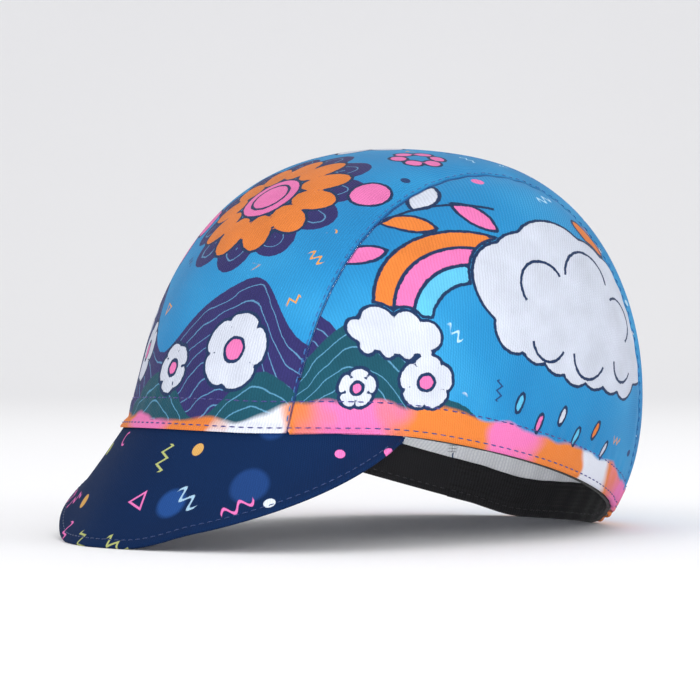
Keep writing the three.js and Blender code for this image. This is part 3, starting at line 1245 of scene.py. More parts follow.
def cloth_place(nodes: Nodes) -> Socket:
    """Place on the cloth in millimetres, from the piece's own attribute."""
    return nodes.add("Attribute", out="Vector", attribute_name="cloth_mm")


@dataclass(frozen=True)
class PrintedKnit:
    """Polyester knit, dye-printed in bright inks: matt, with fine ribs of loops and a faint bloom of fibre.

    Scales of its noises are for millimetres of cloth.
    """

    name: str = "dye_printed_polyester_knit"
    ground: tuple[tuple[float, str], ...] = ((0.34, "#1F85C1"), (0.5, "#2490CC"), (0.68, "#34A0D9"))
    ink_line: str = "#17325A"
    wave_line: str = "#6FB4DE"
    # Darker blue beside the seams: partly the folded edge's deeper dye, partly painted shade of the seam's
    # groove.
    seam_fold_and_painted_shade: str = "#1D3B7C"
    # Stretches of the soft border along the hem, by share of its repeat.
    border: tuple[tuple[float, str], ...] = (
        (0.0, "#F07ABA"), (0.1, "#F07ABA"), (0.16, "#E88238"), (0.3, "#E88238"),
        (0.32, "#E2E6F2"), (0.46, "#E2E6F2"), (0.5, "#E88238"), (0.58, "#F07ABA"),
        (0.7, "#F07ABA"), (0.78, "#E88238"), (0.96, "#E88238"), (1.0, "#F07ABA"),
    )
    border_repeat: float = 146.0
    border_start: float = 38.0
    border_rise: float = 22.0
    border_low: float = 0.5
    border_high: float = 6.5
    border_soft: float = 1.6
    hand: float = 0.8
    confetti_room: tuple[float, float] = (3.5, 5.0)
    seam_reach: tuple[float, float] = (0.25, 1.1)
    seam_strength: float = 0.75
    # The knit's relief multiplies the colour down, most between the loops: painted shade in the knit's
    # hollows.
    tone_relief: tuple[float, float] = (0.05, 0.6)
    tone: tuple[float, float] = (0.63, 0.765)
    surface: Surface = Surface(roughness=0.85, gloss=0.22, sheen=0.05, depth=0.00018)
    outline: float = 0.58
    contour_pitch: float = 2.9
    contour_width: float = 0.5
    soft: float = 0.22
    # A fine gauge has ribs 0.7 mm apart. They are drawn at 1.05 mm so that they show in the picture.
    knit: Knit = Knit(wale=1.05, course=1.15)
    confetti: Confetti = Confetti(
        cell=21.0, share=0.74, stroke=0.62, size=1.8,
        inks=("#F07ABA", "#BFE3F8", "#1F3F73", "#E9A24C", "#E2E6F2", "#1F3F73"),
    )

    def build(self) -> bpy.types.Material:
        """Make the material.

        Returns:
            The material.
        """
        nodes = Nodes(self.name)
        cloth = cloth_place(nodes)
        patches = {"Vector": cloth, "Scale": 0.018, "Detail": 2.0, "Roughness": 0.45}
        colour = nodes.ramp(nodes.add("TexNoise", inputs=patches), self.ground)
        wobble = nodes.add("TexNoise", inputs={"Vector": cloth, "Scale": 0.5, "Detail": 2.0})
        hand = nodes.add("Math.MULTIPLY_ADD", wobble, self.hand, -self.hand / 2)
        fields = {
            ink: nodes.add("Math.ADD", nodes.add("Attribute", out="Fac", attribute_name=ink.attribute), hand)
            for ink in Ink
        }
        nearest = fields[Ink.PURPLE]
        for distance in fields.values():
            nearest = nodes.add("Math.MINIMUM", nearest, distance)
        clear = nodes.add("MapRange", nearest, *self.confetti_room)
        colour = self.confetti.lay(nodes, cloth, colour, clear)
        for ink, distance in fields.items():
            colour = self._lay_ink(nodes, cloth, colour, ink, distance)
            if ink is Ink.TEAL:
                colour = self._lay_border(nodes, colour)
        colour = self._draw_curls(nodes, colour, hand)
        # Darken the colour beside each seam: deeper dye of the folded edge and painted shade of its groove.
        beside = nodes.add("Attribute", out="Fac", attribute_name="seam_mm")
        near = nodes.add("MapRange", beside, *self.seam_reach, self.seam_strength, 0.0)
        colour = nodes.add("Mix", near, colour, linear(self.seam_fold_and_painted_shade), data_type="RGBA")
        relief = self.knit.relief(nodes, cloth)
        # Colour darkest between the loops: painted shade in the knit's hollows.
        tone = nodes.add("MapRange", relief, *self.tone_relief, *self.tone)
        knit_with_painted_shade = nodes.add("Mix", 1.0, colour, tone, data_type="RGBA", blend_type="MULTIPLY")
        return nodes.finish(knit_with_painted_shade, relief, self.surface)

    def _lay_ink(self, nodes: Nodes, cloth: Socket, below: Socket, ink: Ink, distance: Socket) -> Socket:
        """Lay one ink with its outline, or with contour lines where it is a wave.

        Args:
            nodes: Tree that takes the nodes.
            cloth: Place on the cloth in millimetres.
            below: Colour below the ink.
            ink: The ink.
            distance: Distance to the ink's nearest motif.

        Returns:
            Colour with the ink on it.
        """
        shade = nodes.add("TexNoise", inputs={"Vector": cloth, "Scale": 0.08, "Detail": 3.0})
        tone = nodes.add("MapRange", shade, 0.3, 0.7, 0.9, 1.06)
        body = nodes.add("Mix", 1.0, linear(ink.value), tone, data_type="RGBA", blend_type="MULTIPLY")
        fill = nodes.inside(distance, self.soft)
        colour = nodes.add("Mix", fill, below, body, data_type="RGBA")
        if ink in (Ink.PURPLE, Ink.TEAL):
            bend = nodes.add("TexNoise", inputs={"Vector": cloth, "Scale": 0.07, "Detail": 1.0})
            bent = nodes.add("Math.MULTIPLY_ADD", bend, 9.0, distance)
            fold = nodes.add("Math.PINGPONG", bent, self.contour_pitch)
            line = nodes.add("Math.MULTIPLY", nodes.inside(fold, self.soft, self.contour_width / 2), fill)
            thin = nodes.add("Math.MULTIPLY", line, 0.6)
            return nodes.add("Mix", thin, colour, linear(self.wave_line), data_type="RGBA")
        line = nodes.inside(nodes.add("Math.ABSOLUTE", distance), self.soft, self.outline)
        return nodes.add("Mix", line, colour, linear(self.ink_line), data_type="RGBA")

    def _lay_border(self, nodes: Nodes, below: Socket) -> Socket:
        """Lay the soft-edged border of changing inks along the hem, low in front and higher at the sides.

        Args:
            nodes: Tree that takes the nodes.
            below: Colour below the border.

        Returns:
            Colour with the border on it.
        """
        place = nodes.add("Attribute", out="Vector", attribute_name="hem_mm")
        around = nodes.add("SeparateXYZ", place)
        height = around.node.outputs[1]
        uneven = nodes.add("TexNoise", inputs={"Vector": place, "Scale": 0.06, "Detail": 1.0})
        run = nodes.add("Math.MULTIPLY_ADD", uneven, 26.0, around)
        repeat = nodes.add("Math.FRACT", nodes.add("Math.DIVIDE", run, self.border_repeat))
        rise = (self.border_start, self.border_start + self.border_rise, self.border_low, self.border_high)
        top = nodes.add("MapRange", nodes.add("Math.ABSOLUTE", around), *rise)
        edge = nodes.add("Math.MULTIPLY_ADD", uneven, 9.0, top)
        share = nodes.inside(nodes.add("Math.SUBTRACT", height, edge), self.border_soft)
        return nodes.add("Mix", share, below, nodes.ramp(repeat, self.border), data_type="RGBA")

    def _draw_curls(self, nodes: Nodes, colour: Socket, hand: Socket) -> Socket:
        """Draw the thin dark curls over the inks.

        Args:
            nodes: Tree that takes the nodes.
            colour: Colour below the curls.
            hand: Small waver of the drawn lines.

        Returns:
            Colour with the curls on it.
        """
        off = nodes.add("Math.ADD", nodes.add("Attribute", out="Fac", attribute_name="curl_off"), hand)
        beside = nodes.add("Attribute", out="Fac", attribute_name="curl_beside")
        stroke = nodes.add("Math.SUBTRACT", nodes.add("Math.ABSOLUTE", off), self.outline)
        line = nodes.inside(nodes.add("Math.MAXIMUM", stroke, beside), self.soft)
        return nodes.add("Mix", line, colour, linear(self.ink_line), data_type="RGBA")


@dataclass(frozen=True)
class PlainKnit:
    """Undyed or dyed-through knit of one colour: matt, with its ribs, a little pilling and painted shade
    between its loops.
    """

    name: str
    colour: str
    # Colour of the darker random patches, and the painted shade between the loops.
    patch_and_shade_colour: str
    knit: Knit
    surface: Surface

    def build(self) -> bpy.types.Material:
        """Make the material.

        Returns:
            The material.
        """
        nodes = Nodes(self.name)
        cloth = cloth_place(nodes)
        relief = self.knit.relief(nodes, cloth)
        patches = nodes.add("TexNoise", inputs={"Vector": cloth, "Scale": 0.06, "Detail": 3.0})
        # Darker between the loops as painted shade, and in broad random patches of tone.
        share = nodes.add("MapRange", nodes.add("Math.MULTIPLY_ADD", patches, 0.5, relief), 0.3, 1.0)
        colour = nodes.add("Mix", share, linear(self.patch_and_shade_colour), linear(self.colour), data_type="RGBA")
        return nodes.finish(colour, relief, self.surface)


@dataclass(frozen=True)
class PeakCloth:
    """Tightly woven polyester over a stiffener, printed navy with faint spots and scattered small figures."""

    name: str = "printed_navy_polyester_twill"
    ground: str = "#0A2A55"
    ground_deep: str = "#072148"
    knit: Knit = Knit(wale=0.9, course=0.9)
    spots: Confetti = Confetti(cell=36.0, share=0.62, stroke=1.0, size=7.5, inks=("#224C8E", "#1D407A"),
                               spots_only=True, soft=1.8)
    figures: Confetti = Confetti(
        cell=19.0, share=0.78, stroke=0.8, size=2.7,
        inks=("#F07AC0", "#A9CDE6", "#B8C078", "#F07AC0", "#D9A860", "#DDE6F2"),
    )
    # The relief multiplies the colour down, most between the loops: painted shade in the weave's hollows.
    tone_relief: tuple[float, float] = (0.1, 0.9)
    tone: tuple[float, float] = (0.68, 0.86)
    surface: Surface = Surface(roughness=0.85, gloss=0.1, sheen=0.0, depth=0.00008)

    def build(self) -> bpy.types.Material:
        """Make the material.

        Returns:
            The material.
        """
        nodes = Nodes(self.name)
        cloth = cloth_place(nodes)
        broad = nodes.add("TexNoise", inputs={"Vector": cloth, "Scale": 0.03, "Detail": 2.0})
        ground = nodes.add("Mix", broad, linear(self.ground_deep), linear(self.ground), data_type="RGBA")
        colour = self.figures.lay(nodes, cloth, self.spots.lay(nodes, cloth, ground))
        relief = self.knit.relief(nodes, cloth)
        # Colour darkest between the loops: painted shade in the weave's hollows.
        tone = nodes.add("MapRange", relief, *self.tone_relief, *self.tone)
        weave_with_painted_shade = nodes.add("Mix", 1.0, colour, tone, data_type="RGBA", blend_type="MULTIPLY")
        return nodes.finish(weave_with_painted_shade, relief, self.surface)


@dataclass(frozen=True)
class SewingThread:
    """Spun polyester thread: two plies twisted, with a soft lustre and painted shade between the plies."""

    name: str
    colour: str
    ply_scale: float = 350.0
    ply_shade: float = 0.6
    surface: Surface = Surface(roughness=0.6, gloss=0.3, sheen=0.2, depth=0.00004)

    def build(self) -> bpy.types.Material:
        """Make the material.

        Returns:
            The material.
        """
        nodes = Nodes(self.name)
        place = nodes.add("TexCoord", out="Object")
        plies = nodes.add("TexWave", inputs={"Vector": place, "Scale": self.ply_scale, "Distortion": 1.5},
                          out="Fac", bands_direction="DIAGONAL")
        # Thread darker between its plies: painted shade of the twist's grooves.
        dark = tuple(channel * self.ply_shade for channel in linear(self.colour)[:3]) + (1.0,)
        colour = nodes.add("Mix", plies, dark, linear(self.colour), data_type="RGBA")
        return nodes.finish(colour, plies, self.surface)


@dataclass
class Finishes:
    """The cap's finishes, each made once."""

    printed: bpy.types.Material = field(default_factory=lambda: PrintedKnit().build())
    reverse: bpy.types.Material = field(default_factory=lambda: PlainKnit(
        "undyed_polyester_knit_reverse", "#E6E8EC", "#CFD2DA", Knit(1.3, 1.5),
        Surface(roughness=0.9, gloss=0.25, sheen=0.1, depth=0.00018)).build())
    band: bpy.types.Material = field(default_factory=lambda: PlainKnit(
        "black_polyester_interlock_knit", "#232326", "#171719", Knit(1.0, 1.0),
        Surface(roughness=0.85, gloss=0.25, sheen=0.08, depth=0.00012)).build())
    elastic: bpy.types.Material = field(default_factory=lambda: PlainKnit(
        "black_woven_elastic", "#242427", "#131315", Knit(1.2, 0.8),
        Surface(roughness=0.8, gloss=0.25, sheen=0.1, depth=0.00014)).build())
    peak: bpy.types.Material = field(default_factory=lambda: PeakCloth().build())
    purple_thread: bpy.types.Material = field(default_factory=lambda: SewingThread(
        "purple_spun_polyester_thread", "#3A3880").build())
    navy_thread: bpy.types.Material = field(default_factory=lambda: SewingThread(
        "navy_spun_polyester_thread", "#22396A").build())
    blue_thread: bpy.types.Material = field(default_factory=lambda: SewingThread(
        "blue_spun_polyester_thread", "#2768A8").build())
    grey_thread: bpy.types.Material = field(default_factory=lambda: SewingThread(
        "grey_overlock_thread", "#B9BCC4").build())
    black_thread: bpy.types.Material = field(default_factory=lambda: SewingThread(
        "black_spun_polyester_thread", "#2C2C30").build())


# Making of meshes

def deselect() -> None:
    """Leave nothing selected, so that the next operator acts on its own piece alone."""
    bpy.ops.object.select_all(action="DESELECT")


def shaped_grid(name: str, columns: int, rows: int, place: Placer) -> bpy.types.Object:
    """Add a grid primitive and lay it on a surface.

    Args:
        name: Name of the piece.
        columns: Faces from one side to the other.
        rows: Faces from one end to the other.
        place: Gives the points in metres for tables of shares from 0 to 1 across and along the grid.

    Returns:
        The new piece, one open sheet.
    """
    deselect()
    bpy.ops.mesh.primitive_grid_add(x_subdivisions=columns, y_subdivisions=rows, size=1.0)
    piece = bpy.context.active_object
    piece.name = name
    piece.data.name = name
    flat = np.empty(len(piece.data.vertices) * 3)
    piece.data.vertices.foreach_get("co", flat)
    shares = np.clip(flat.reshape(rows + 1, columns + 1, 3)[..., :2] + 0.5, 0.0, 1.0)
    piece.data.vertices.foreach_set("co", place(shares[..., 0], shares[..., 1]).ravel())
    piece.data.update()
    return piece


def store(piece: bpy.types.Object, name: str, values: np.ndarray) -> None:
    """Keep a number for each vertex as an attribute of the mesh."""
    attribute = piece.data.attributes.new(name, "FLOAT", "POINT")
    attribute.data.foreach_set("value", values.astype(np.float32).ravel())


def store_place(piece: bpy.types.Object, name: str, u: np.ndarray, v: np.ndarray) -> None:
    """Keep a place in millimetres for each vertex as an attribute of the mesh."""
    attribute = piece.data.attributes.new(name, "FLOAT_VECTOR", "POINT")
    attribute.data.foreach_set("vector", np.stack([u, v, 0 * u], axis=-1).astype(np.float32).ravel())


def dress(piece: bpy.types.Object, slot: str, *materials: bpy.types.Material) -> None:
    """Give a piece its materials and let it ride on the cap's body.

    Args:
        piece: The piece.
        slot: Slot of the record; not used.
        *materials: Materials by their place on the piece.
    """
    piece.data.materials.clear()
    for material in materials:
        piece.data.materials.append(material)
    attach(piece, BODY)


def thicken(piece: bpy.types.Object, thickness: float, node: str) -> None:
    """Give a sheet its thickness away from its face, smooth it and let it stand for its solid.

    Args:
        piece: Dressed sheet. A second material goes on its reverse.
        thickness: Thickness in millimetres.
        node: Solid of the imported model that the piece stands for.
    """
    solidify = piece.modifiers.new("thickness", "SOLIDIFY")
    solidify.thickness = thickness * MM
    solidify.offset = -1.0
    solidify.material_offset = len(piece.data.materials) - 1
    deselect()
    piece.select_set(True)
    bpy.context.view_layer.objects.active = piece
    bpy.ops.object.modifier_apply(modifier=solidify.name)
    bpy.ops.object.shade_smooth_by_angle(angle=SMOOTH_ANGLE)
    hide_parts(node)
    LOG.info("%s: %d faces", piece.name, len(piece.data.polygons))


@dataclass(frozen=True)
class StitchRow:
    """Row of machine stitches: lengths of thread that dip into the cloth at both ends.

    bulge, rise and dip are shares of the thread's thickness.
    """

    stitch: float = 2.6
    gap: float = 0.9
    thread: float = 0.42
    crosswise: bool = False
    bulge: float = 0.6
    rise: float = 0.3
    dip: float = 0.75
    sides: int = 6
    look_ahead: float = 0.6

    def _one(self) -> bpy.types.Mesh:
        """Model one stitch along X: a stretched ball bent down at its ends.

        Returns:
            Its mesh, in metres.
        """
        deselect()
        bpy.ops.mesh.primitive_uv_sphere_add(
            segments=self.sides, ring_count=self.sides, radius=1.0, rotation=(0.0, math.pi / 2, 0.0))
        ball = bpy.context.active_object
        bpy.ops.object.transform_apply(location=True, rotation=True, scale=True)
        for vertex in ball.data.vertices:
            x, y, z = vertex.co
            height = z * self.thread / 2 + self.thread * (self.rise - self.dip * x * x)
            vertex.co = Vector((x * self.stitch / 2, y * self.thread * self.bulge, height)) * MM
        if self.crosswise:
            ball.data.transform(Matrix.Rotation(math.pi / 2, 4, "Z"))
        mesh = ball.data
        bpy.data.objects.remove(ball)
        return mesh

    def sew(self, name: str, points: np.ndarray, normals: np.ndarray) -> bpy.types.Object:
        """Lay stitches end to end along a line.

        Args:
            name: Name of the piece.
            points: Line in metres.
            normals: Outward direction at each point of the line.

        Returns:
            One piece that holds every stitch.
        """
        run = running_length(points) / MM
        pitch = (self.thread if self.crosswise else self.stitch) + self.gap
        count = max(1, int(run[-1] / pitch))
        master = self._one()
        made = []
        for place in range(count):
            middle = (place + 0.5) * run[-1] / count
            steps = (0.0, -self.look_ahead, self.look_ahead)
            here, before, after = (self._at(run, points, middle + step) for step in steps)
            along = (after - before).normalized()
            side = self._at(run, normals, middle).cross(along).normalized()
            stance = Matrix((along, side, along.cross(side))).transposed().to_4x4()
            stance.translation = here
            mesh = master.copy()
            mesh.transform(stance)
            stitch = bpy.data.objects.new(f"{name}_{place}", mesh)
            bpy.context.scene.collection.objects.link(stitch)
            made.append(stitch)
        deselect()
        for stitch in made:
            stitch.select_set(True)
        bpy.context.view_layer.objects.active = made[0]
        bpy.ops.object.join()
        row = bpy.context.active_object
        row.name = name
        row.data.name = name
        bpy.ops.object.shade_smooth()
        bpy.data.meshes.remove(master)
        LOG.info("%s: %d stitches", name, count)
        return row

    @staticmethod
    def _at(run: np.ndarray, values: np.ndarray, where: float) -> Vector:
        """Value at a length along a line."""
        return Vector([float(np.interp(where, run, values[:, axis])) for axis in range(3)])


# Sub-assemblies

@dataclass
class CrownPanel:
    """One panel of the crown: a layer of knit with its printed face outwards."""

    form: CapForm
    relief: CrownRelief
    finishes: Finishes
    printing: Print
    name: str
    node: str
    thickness: float = 0.9
    seam_gap: float = 0.12
    columns: int = 112
    rows: int = 380

    def places(self, column: np.ndarray, row: np.ndarray) -> tuple[np.ndarray, np.ndarray]:
        """Places in the disc for shares across and along the panel."""
        raise NotImplementedError

    def measure(self, points: np.ndarray) -> tuple[np.ndarray, np.ndarray]:
        """Millimetres of flat cloth across and up for a table of points."""
        raise NotImplementedError

    def build(self) -> None:
        """Model the panel, keep its print as attributes and dress it."""
        kept = {}

        def place(column: np.ndarray, row: np.ndarray) -> np.ndarray:
            """Lay the panel on the crown and keep its places."""
            kept["places"] = self.places(column, row)
            return self.form.to_row(self.relief.point(self.form, *kept["places"]))

        piece = shaped_grid(self.name, self.columns, self.rows, place)
        places = kept["places"]
        u, v = self.measure(self.form.crown(*places))
        around, height = self.form.rim_run(*places), self.form.wall_run(*places)
        for name, values in self.printing.fields(u, v, around, height).items():
            store(piece, name, values)
        store(piece, "seam_mm", self.form.beside_seam(*places))
        store_place(piece, "cloth_mm", u, v)
        store_place(piece, "hem_mm", around, height)
        dress(piece, "printed_knit", self.finishes.printed, self.finishes.reverse)
        thicken(piece, self.thickness, self.node)


@dataclass
class CentrePanel(CrownPanel):
    """Panel from the front hem over the top to the rear hem."""

    crowding: float = 0.55
    end_fit: int = 10

    def places(self, column: np.ndarray, row: np.ndarray) -> tuple[np.ndarray, np.ndarray]:
        """Places in the disc, with rows bowed so that the first and last lie on the rim.

        Args:
            column: Shares across the panel.
            row: Shares along the panel.

        Returns:
            Places across and along.
        """
        form = self.form
        share = crowded(row, self.crowding)
        sideways = 2 * crowded(column, self.crowding) - 1
        along = mix(-form.hem_along, form.hem_along, share)
        seam = form.seam(along)
        edge = seam - self.seam_gap / 2 / form.across_scale(seam, along)
        bowed = along + (2 * share - 1 - along) * (1 - sideways ** 2)
        end_reach = np.hypot(sideways * form.hem_across, mix(form.hem_along, 1.0, 1 - sideways ** 2))
        fitted = mix(1.0, 1 / end_reach, np.abs(2 * share - 1) ** self.end_fit)
        return sideways * edge * fitted, bowed * fitted

    def measure(self, points: np.ndarray) -> tuple[np.ndarray, np.ndarray]:
        """Millimetres of flat cloth.

        Args:
            points: Table of the panel's points.

        Returns:
            Lengths across from the middle line, and up from the front hem.
        """
        middle = points.shape[1] // 2
        across = running_length(points, axis=1)
        up = running_length(points[:, middle])[:, None]
        return across - across[:, middle:middle + 1], up + 0 * across


@dataclass
class SidePanel(CrownPanel):
    """Panel over one ear, between a seam and the rim. side is 1 on the wearer's left and -1 on the right."""

    side: int = 1
    columns: int = 130
    rows: int = 256
    crowding: float = 0.5
    end_trim: float = 0.004
    narrow_end: float = 0.35
    measured_level: float = 0.6

    def places(self, column: np.ndarray, row: np.ndarray) -> tuple[np.ndarray, np.ndarray]:
        """Places in the disc, from the seam outwards to the rim.

        Args:
            column: Shares across the panel.
            row: Shares along the panel.

        Returns:
            Places across and along.
        """
        form = self.form
        share = mix(self.end_trim, 1 - self.end_trim, crowded(row, self.crowding))
        along = mix(-form.hem_along, form.hem_along, share)
        rim = np.sqrt(1 - along ** 2)
        seam = form.seam(along)
        start = seam + self.seam_gap / 2 / form.across_scale(seam, along)
        start = np.minimum(start, rim - self.narrow_end / form.half_width)
        outwards = column if self.side > 0 else 1 - column
        return self.side * mix(start, rim, crowded(outwards, self.crowding)), along

    def measure(self, points: np.ndarray) -> tuple[np.ndarray, np.ndarray]:
        """Millimetres of flat cloth.

        Args:
            points: Table of the panel's points.

        Returns:
            Lengths along from the ear towards the back, and up from the hem.
        """
        from_rim = points[:, ::-1] if self.side > 0 else points
        up = running_length(from_rim, axis=1)
        level = from_rim[:, int(points.shape[1] * (1 - self.measured_level))]
        back = running_length(level)
        ear = np.interp(0.0, level[:, 1], back)
        return (back - ear)[:, None] + 0 * up, up[:, ::-1] if self.side > 0 else up


@dataclass
class SeamAllowance:
    """Overlocked allowance that lies inside along one crown seam. side is 1 on the wearer's left."""

    form: CapForm
    relief: CrownRelief
    finishes: Finishes
    side: int
    name: str
    node: str
    width: float = 6.0
    depth: float = 1.15
    thickness: float = 0.8
    clear_height: float = 18.5
    wave: float = 0.36
    wave_length: float = 9.0
    curve_share: float = 1.4
    columns: int = 8
    rows: int = 260
    loops: StitchRow = StitchRow(stitch=4.2, gap=1.0, thread=0.38, crosswise=True)

    def _along(self, share: np.ndarray) -> np.ndarray:
        """Places along the seam.

        Args:
            share: Runs from 0 above the band at the front to 1 above it at the back.

        Returns:
            Places along the disc.
        """
        trial = np.linspace(-self.form.hem_along, self.form.hem_along, 2 * TRIALS)
        above = trial[self.form.wall_run(self.form.seam(trial), trial) > self.clear_height]
        return mix(above[0], above[-1], share)

    def _face(self, width_share: np.ndarray, along: np.ndarray,
              lift: float = 0.0) -> tuple[np.ndarray, np.ndarray]:
        """Face towards the head.

        Args:
            width_share: Shares across the strip.
            along: Places along the disc.
            lift: Height above the face in millimetres.

        Returns:
            Points, and the directions in which they look.
        """
        seam = self.form.seam(along)
        across = self.side * (seam + (width_share - 0.5) * self.width / self.form.across_scale(seam, along))
        normal = self.form.crown_normal(across, along)
        cloth = np.minimum(self.relief.proud(self.form, across, along), 0.0)
        turns = along * self.form.half_length / self.wave_length
        waves = self.wave * np.sin(2 * np.pi * turns) * (width_share - 0.5)
        inwards = self.depth + self.thickness + lift + waves - cloth
        return self.form.crown(across, along) - normal * inwards[..., None], -normal

    def build(self) -> None:
        """Model the folded allowance and the overlock thread along it."""
        def place(column: np.ndarray, row: np.ndarray) -> np.ndarray:
            """Lay the strip inside the crown, facing the head."""
            outwards = 1 - column if self.side > 0 else column
            return self.form.to_row(self._face(outwards, self._along(row))[0])

        strip = shaped_grid(self.name, self.columns, self.rows, place)
        row, column = np.mgrid[0:1:(self.rows + 1) * 1j, 0:1:(self.columns + 1) * 1j]
        up = self._along(row) * self.form.half_length * self.curve_share
        store_place(strip, "cloth_mm", column * self.width, up)
        dress(strip, "reverse_knit", self.finishes.reverse)
        thicken(strip, self.thickness, self.node)
        along = self._along(np.linspace(0.0, 1.0, TRIALS))
        points, inwards = self._face(0.5 + 0 * along, along, PROUD_THREAD)
        thread = self.loops.sew(f"{self.name}_overlock", self.form.to_row(points), self.form.turned(inwards))
        dress(thread, "reverse_knit", self.finishes.grey_thread)


@dataclass
class InnerBand:
    """Stretch of the band inside the hem, either smooth knit or ribbed elastic."""

    form: CapForm
    material: bpy.types.Material
    thread: bpy.types.Material
    slot: str
    name: str
    node: str
    start: float
    end: float
    height: float = 17.0
    depth: float = 1.5
    thickness: float = 1.3
    ribs: int = 0
    rib_height: float = 0.22
    gather: float = 0.0
    gathers_round: int = 56
    edge_round: float = 0.5
    edge_roll: float = 0.5
    stitch_height: float = 2.5
    groove: float = 0.22
    groove_width: float = 0.7
    sway: float = 0.12
    level_height: float = 5.0
    rows: int = 36
    crowding: float = 0.6
    step: float = 1.1
    seam_trim: float = 0.01
    seam_points: int = 700
    measured_levels: int = 25
    seam: StitchRow = StitchRow(stitch=2.4, gap=0.9, thread=0.4)

    def _face(self, bearing: np.ndarray, height: np.ndarray,
              lift: float = 0.0) -> tuple[np.ndarray, np.ndarray]:
        """Face towards the head.

        Args:
            bearing: Angles that run from +X towards the back.
            height: Lengths up the band.
            lift: Height above the face in millimetres.

        Returns:
            Points, and the directions in which they look.
        """
        levels = np.linspace(0.0, self.height, self.measured_levels)
        bearings = np.linspace(self.start, self.end, TRIALS)
        radii = np.stack([self.form.radius_at(bearings, level) for level in levels])
        spot = np.interp(bearing, bearings, np.arange(TRIALS))
        left = np.clip(spot.astype(int), 0, TRIALS - 2)
        level = np.interp(height, levels, np.arange(self.measured_levels))
        low = np.clip(level.astype(int), 0, self.measured_levels - 2)
        below = mix(radii[low, left], radii[low, left + 1], spot - left)
        above = mix(radii[low + 1, left], radii[low + 1, left + 1], spot - left)
        radius = mix(below, above, level - low)
        across, along = radius * np.cos(bearing), radius * np.sin(bearing)
        normal = self.form.crown_normal(across, along)
        inwards = self.depth + self.thickness + self._proud(across, along, height) + lift
        points = self.form.crown(across, along) - normal * inwards[..., None]
        points[..., 2] += np.minimum(normal[..., 2], 0.0) * inwards * (1 - smooth(height / self.level_height))
        return points, -normal

    def _proud(self, across: np.ndarray, along: np.ndarray, height: np.ndarray) -> np.ndarray:
        """Relief of the band's face: rolled edges, ribs, gathers and the groove of its stitches.

        Args:
            across: Places in the disc towards the wearer's left.
            along: Places in the disc towards the back.
            height: Lengths up the band.

        Returns:
            Millimetres towards the head.
        """
        around = self.form.rim_run(across, along)
        rolled = valley(height, self.edge_round) + valley(height - self.height, self.edge_round)
        groove = self.groove * valley(height - self.stitch_height, self.groove_width)
        ribs = self.rib_height * np.cos(2 * np.pi * self.ribs * height / self.height) if self.ribs else 0.0
        fold = self.gather * np.sin(2 * np.pi * self.gathers_round * around / self.form.rim_round)
        sway = self.sway * np.sin(around / 9.0) * np.sin(around / 31.0 + height / 14.0)
        return ribs + fold + sway - groove - self.edge_roll * rolled

    def build(self) -> None:
        """Model the band, dress it and sew its lower edge."""
        length = float(running_length(self.form.rim(np.linspace(self.start, self.end, TRIALS)))[-1])
        columns = round(length / self.step)

        def place(column: np.ndarray, row: np.ndarray) -> np.ndarray:
            """Lay the band inside the hem, facing the head."""
            bearing = mix(self.end, self.start, column)
            return self.form.to_row(self._face(bearing, crowded(row, self.crowding) * self.height)[0])

        piece = shaped_grid(self.name, columns, self.rows, place)
        row, column = np.mgrid[0:1:(self.rows + 1) * 1j, 0:1:(columns + 1) * 1j]
        store_place(piece, "cloth_mm", column * length, crowded(row, self.crowding) * self.height)
        dress(piece, self.slot, self.material)
        thicken(piece, self.thickness, self.node)
        bearing = np.linspace(self.start + self.seam_trim, self.end - self.seam_trim, self.seam_points)
        points, inwards = self._face(bearing, self.stitch_height + 0 * bearing, PROUD_THREAD)
        line = self.form.to_row(points)
        stitches = self.seam.sew(f"{self.name}_stitching", line, self.form.turned(inwards))
        dress(stitches, self.slot, self.thread)


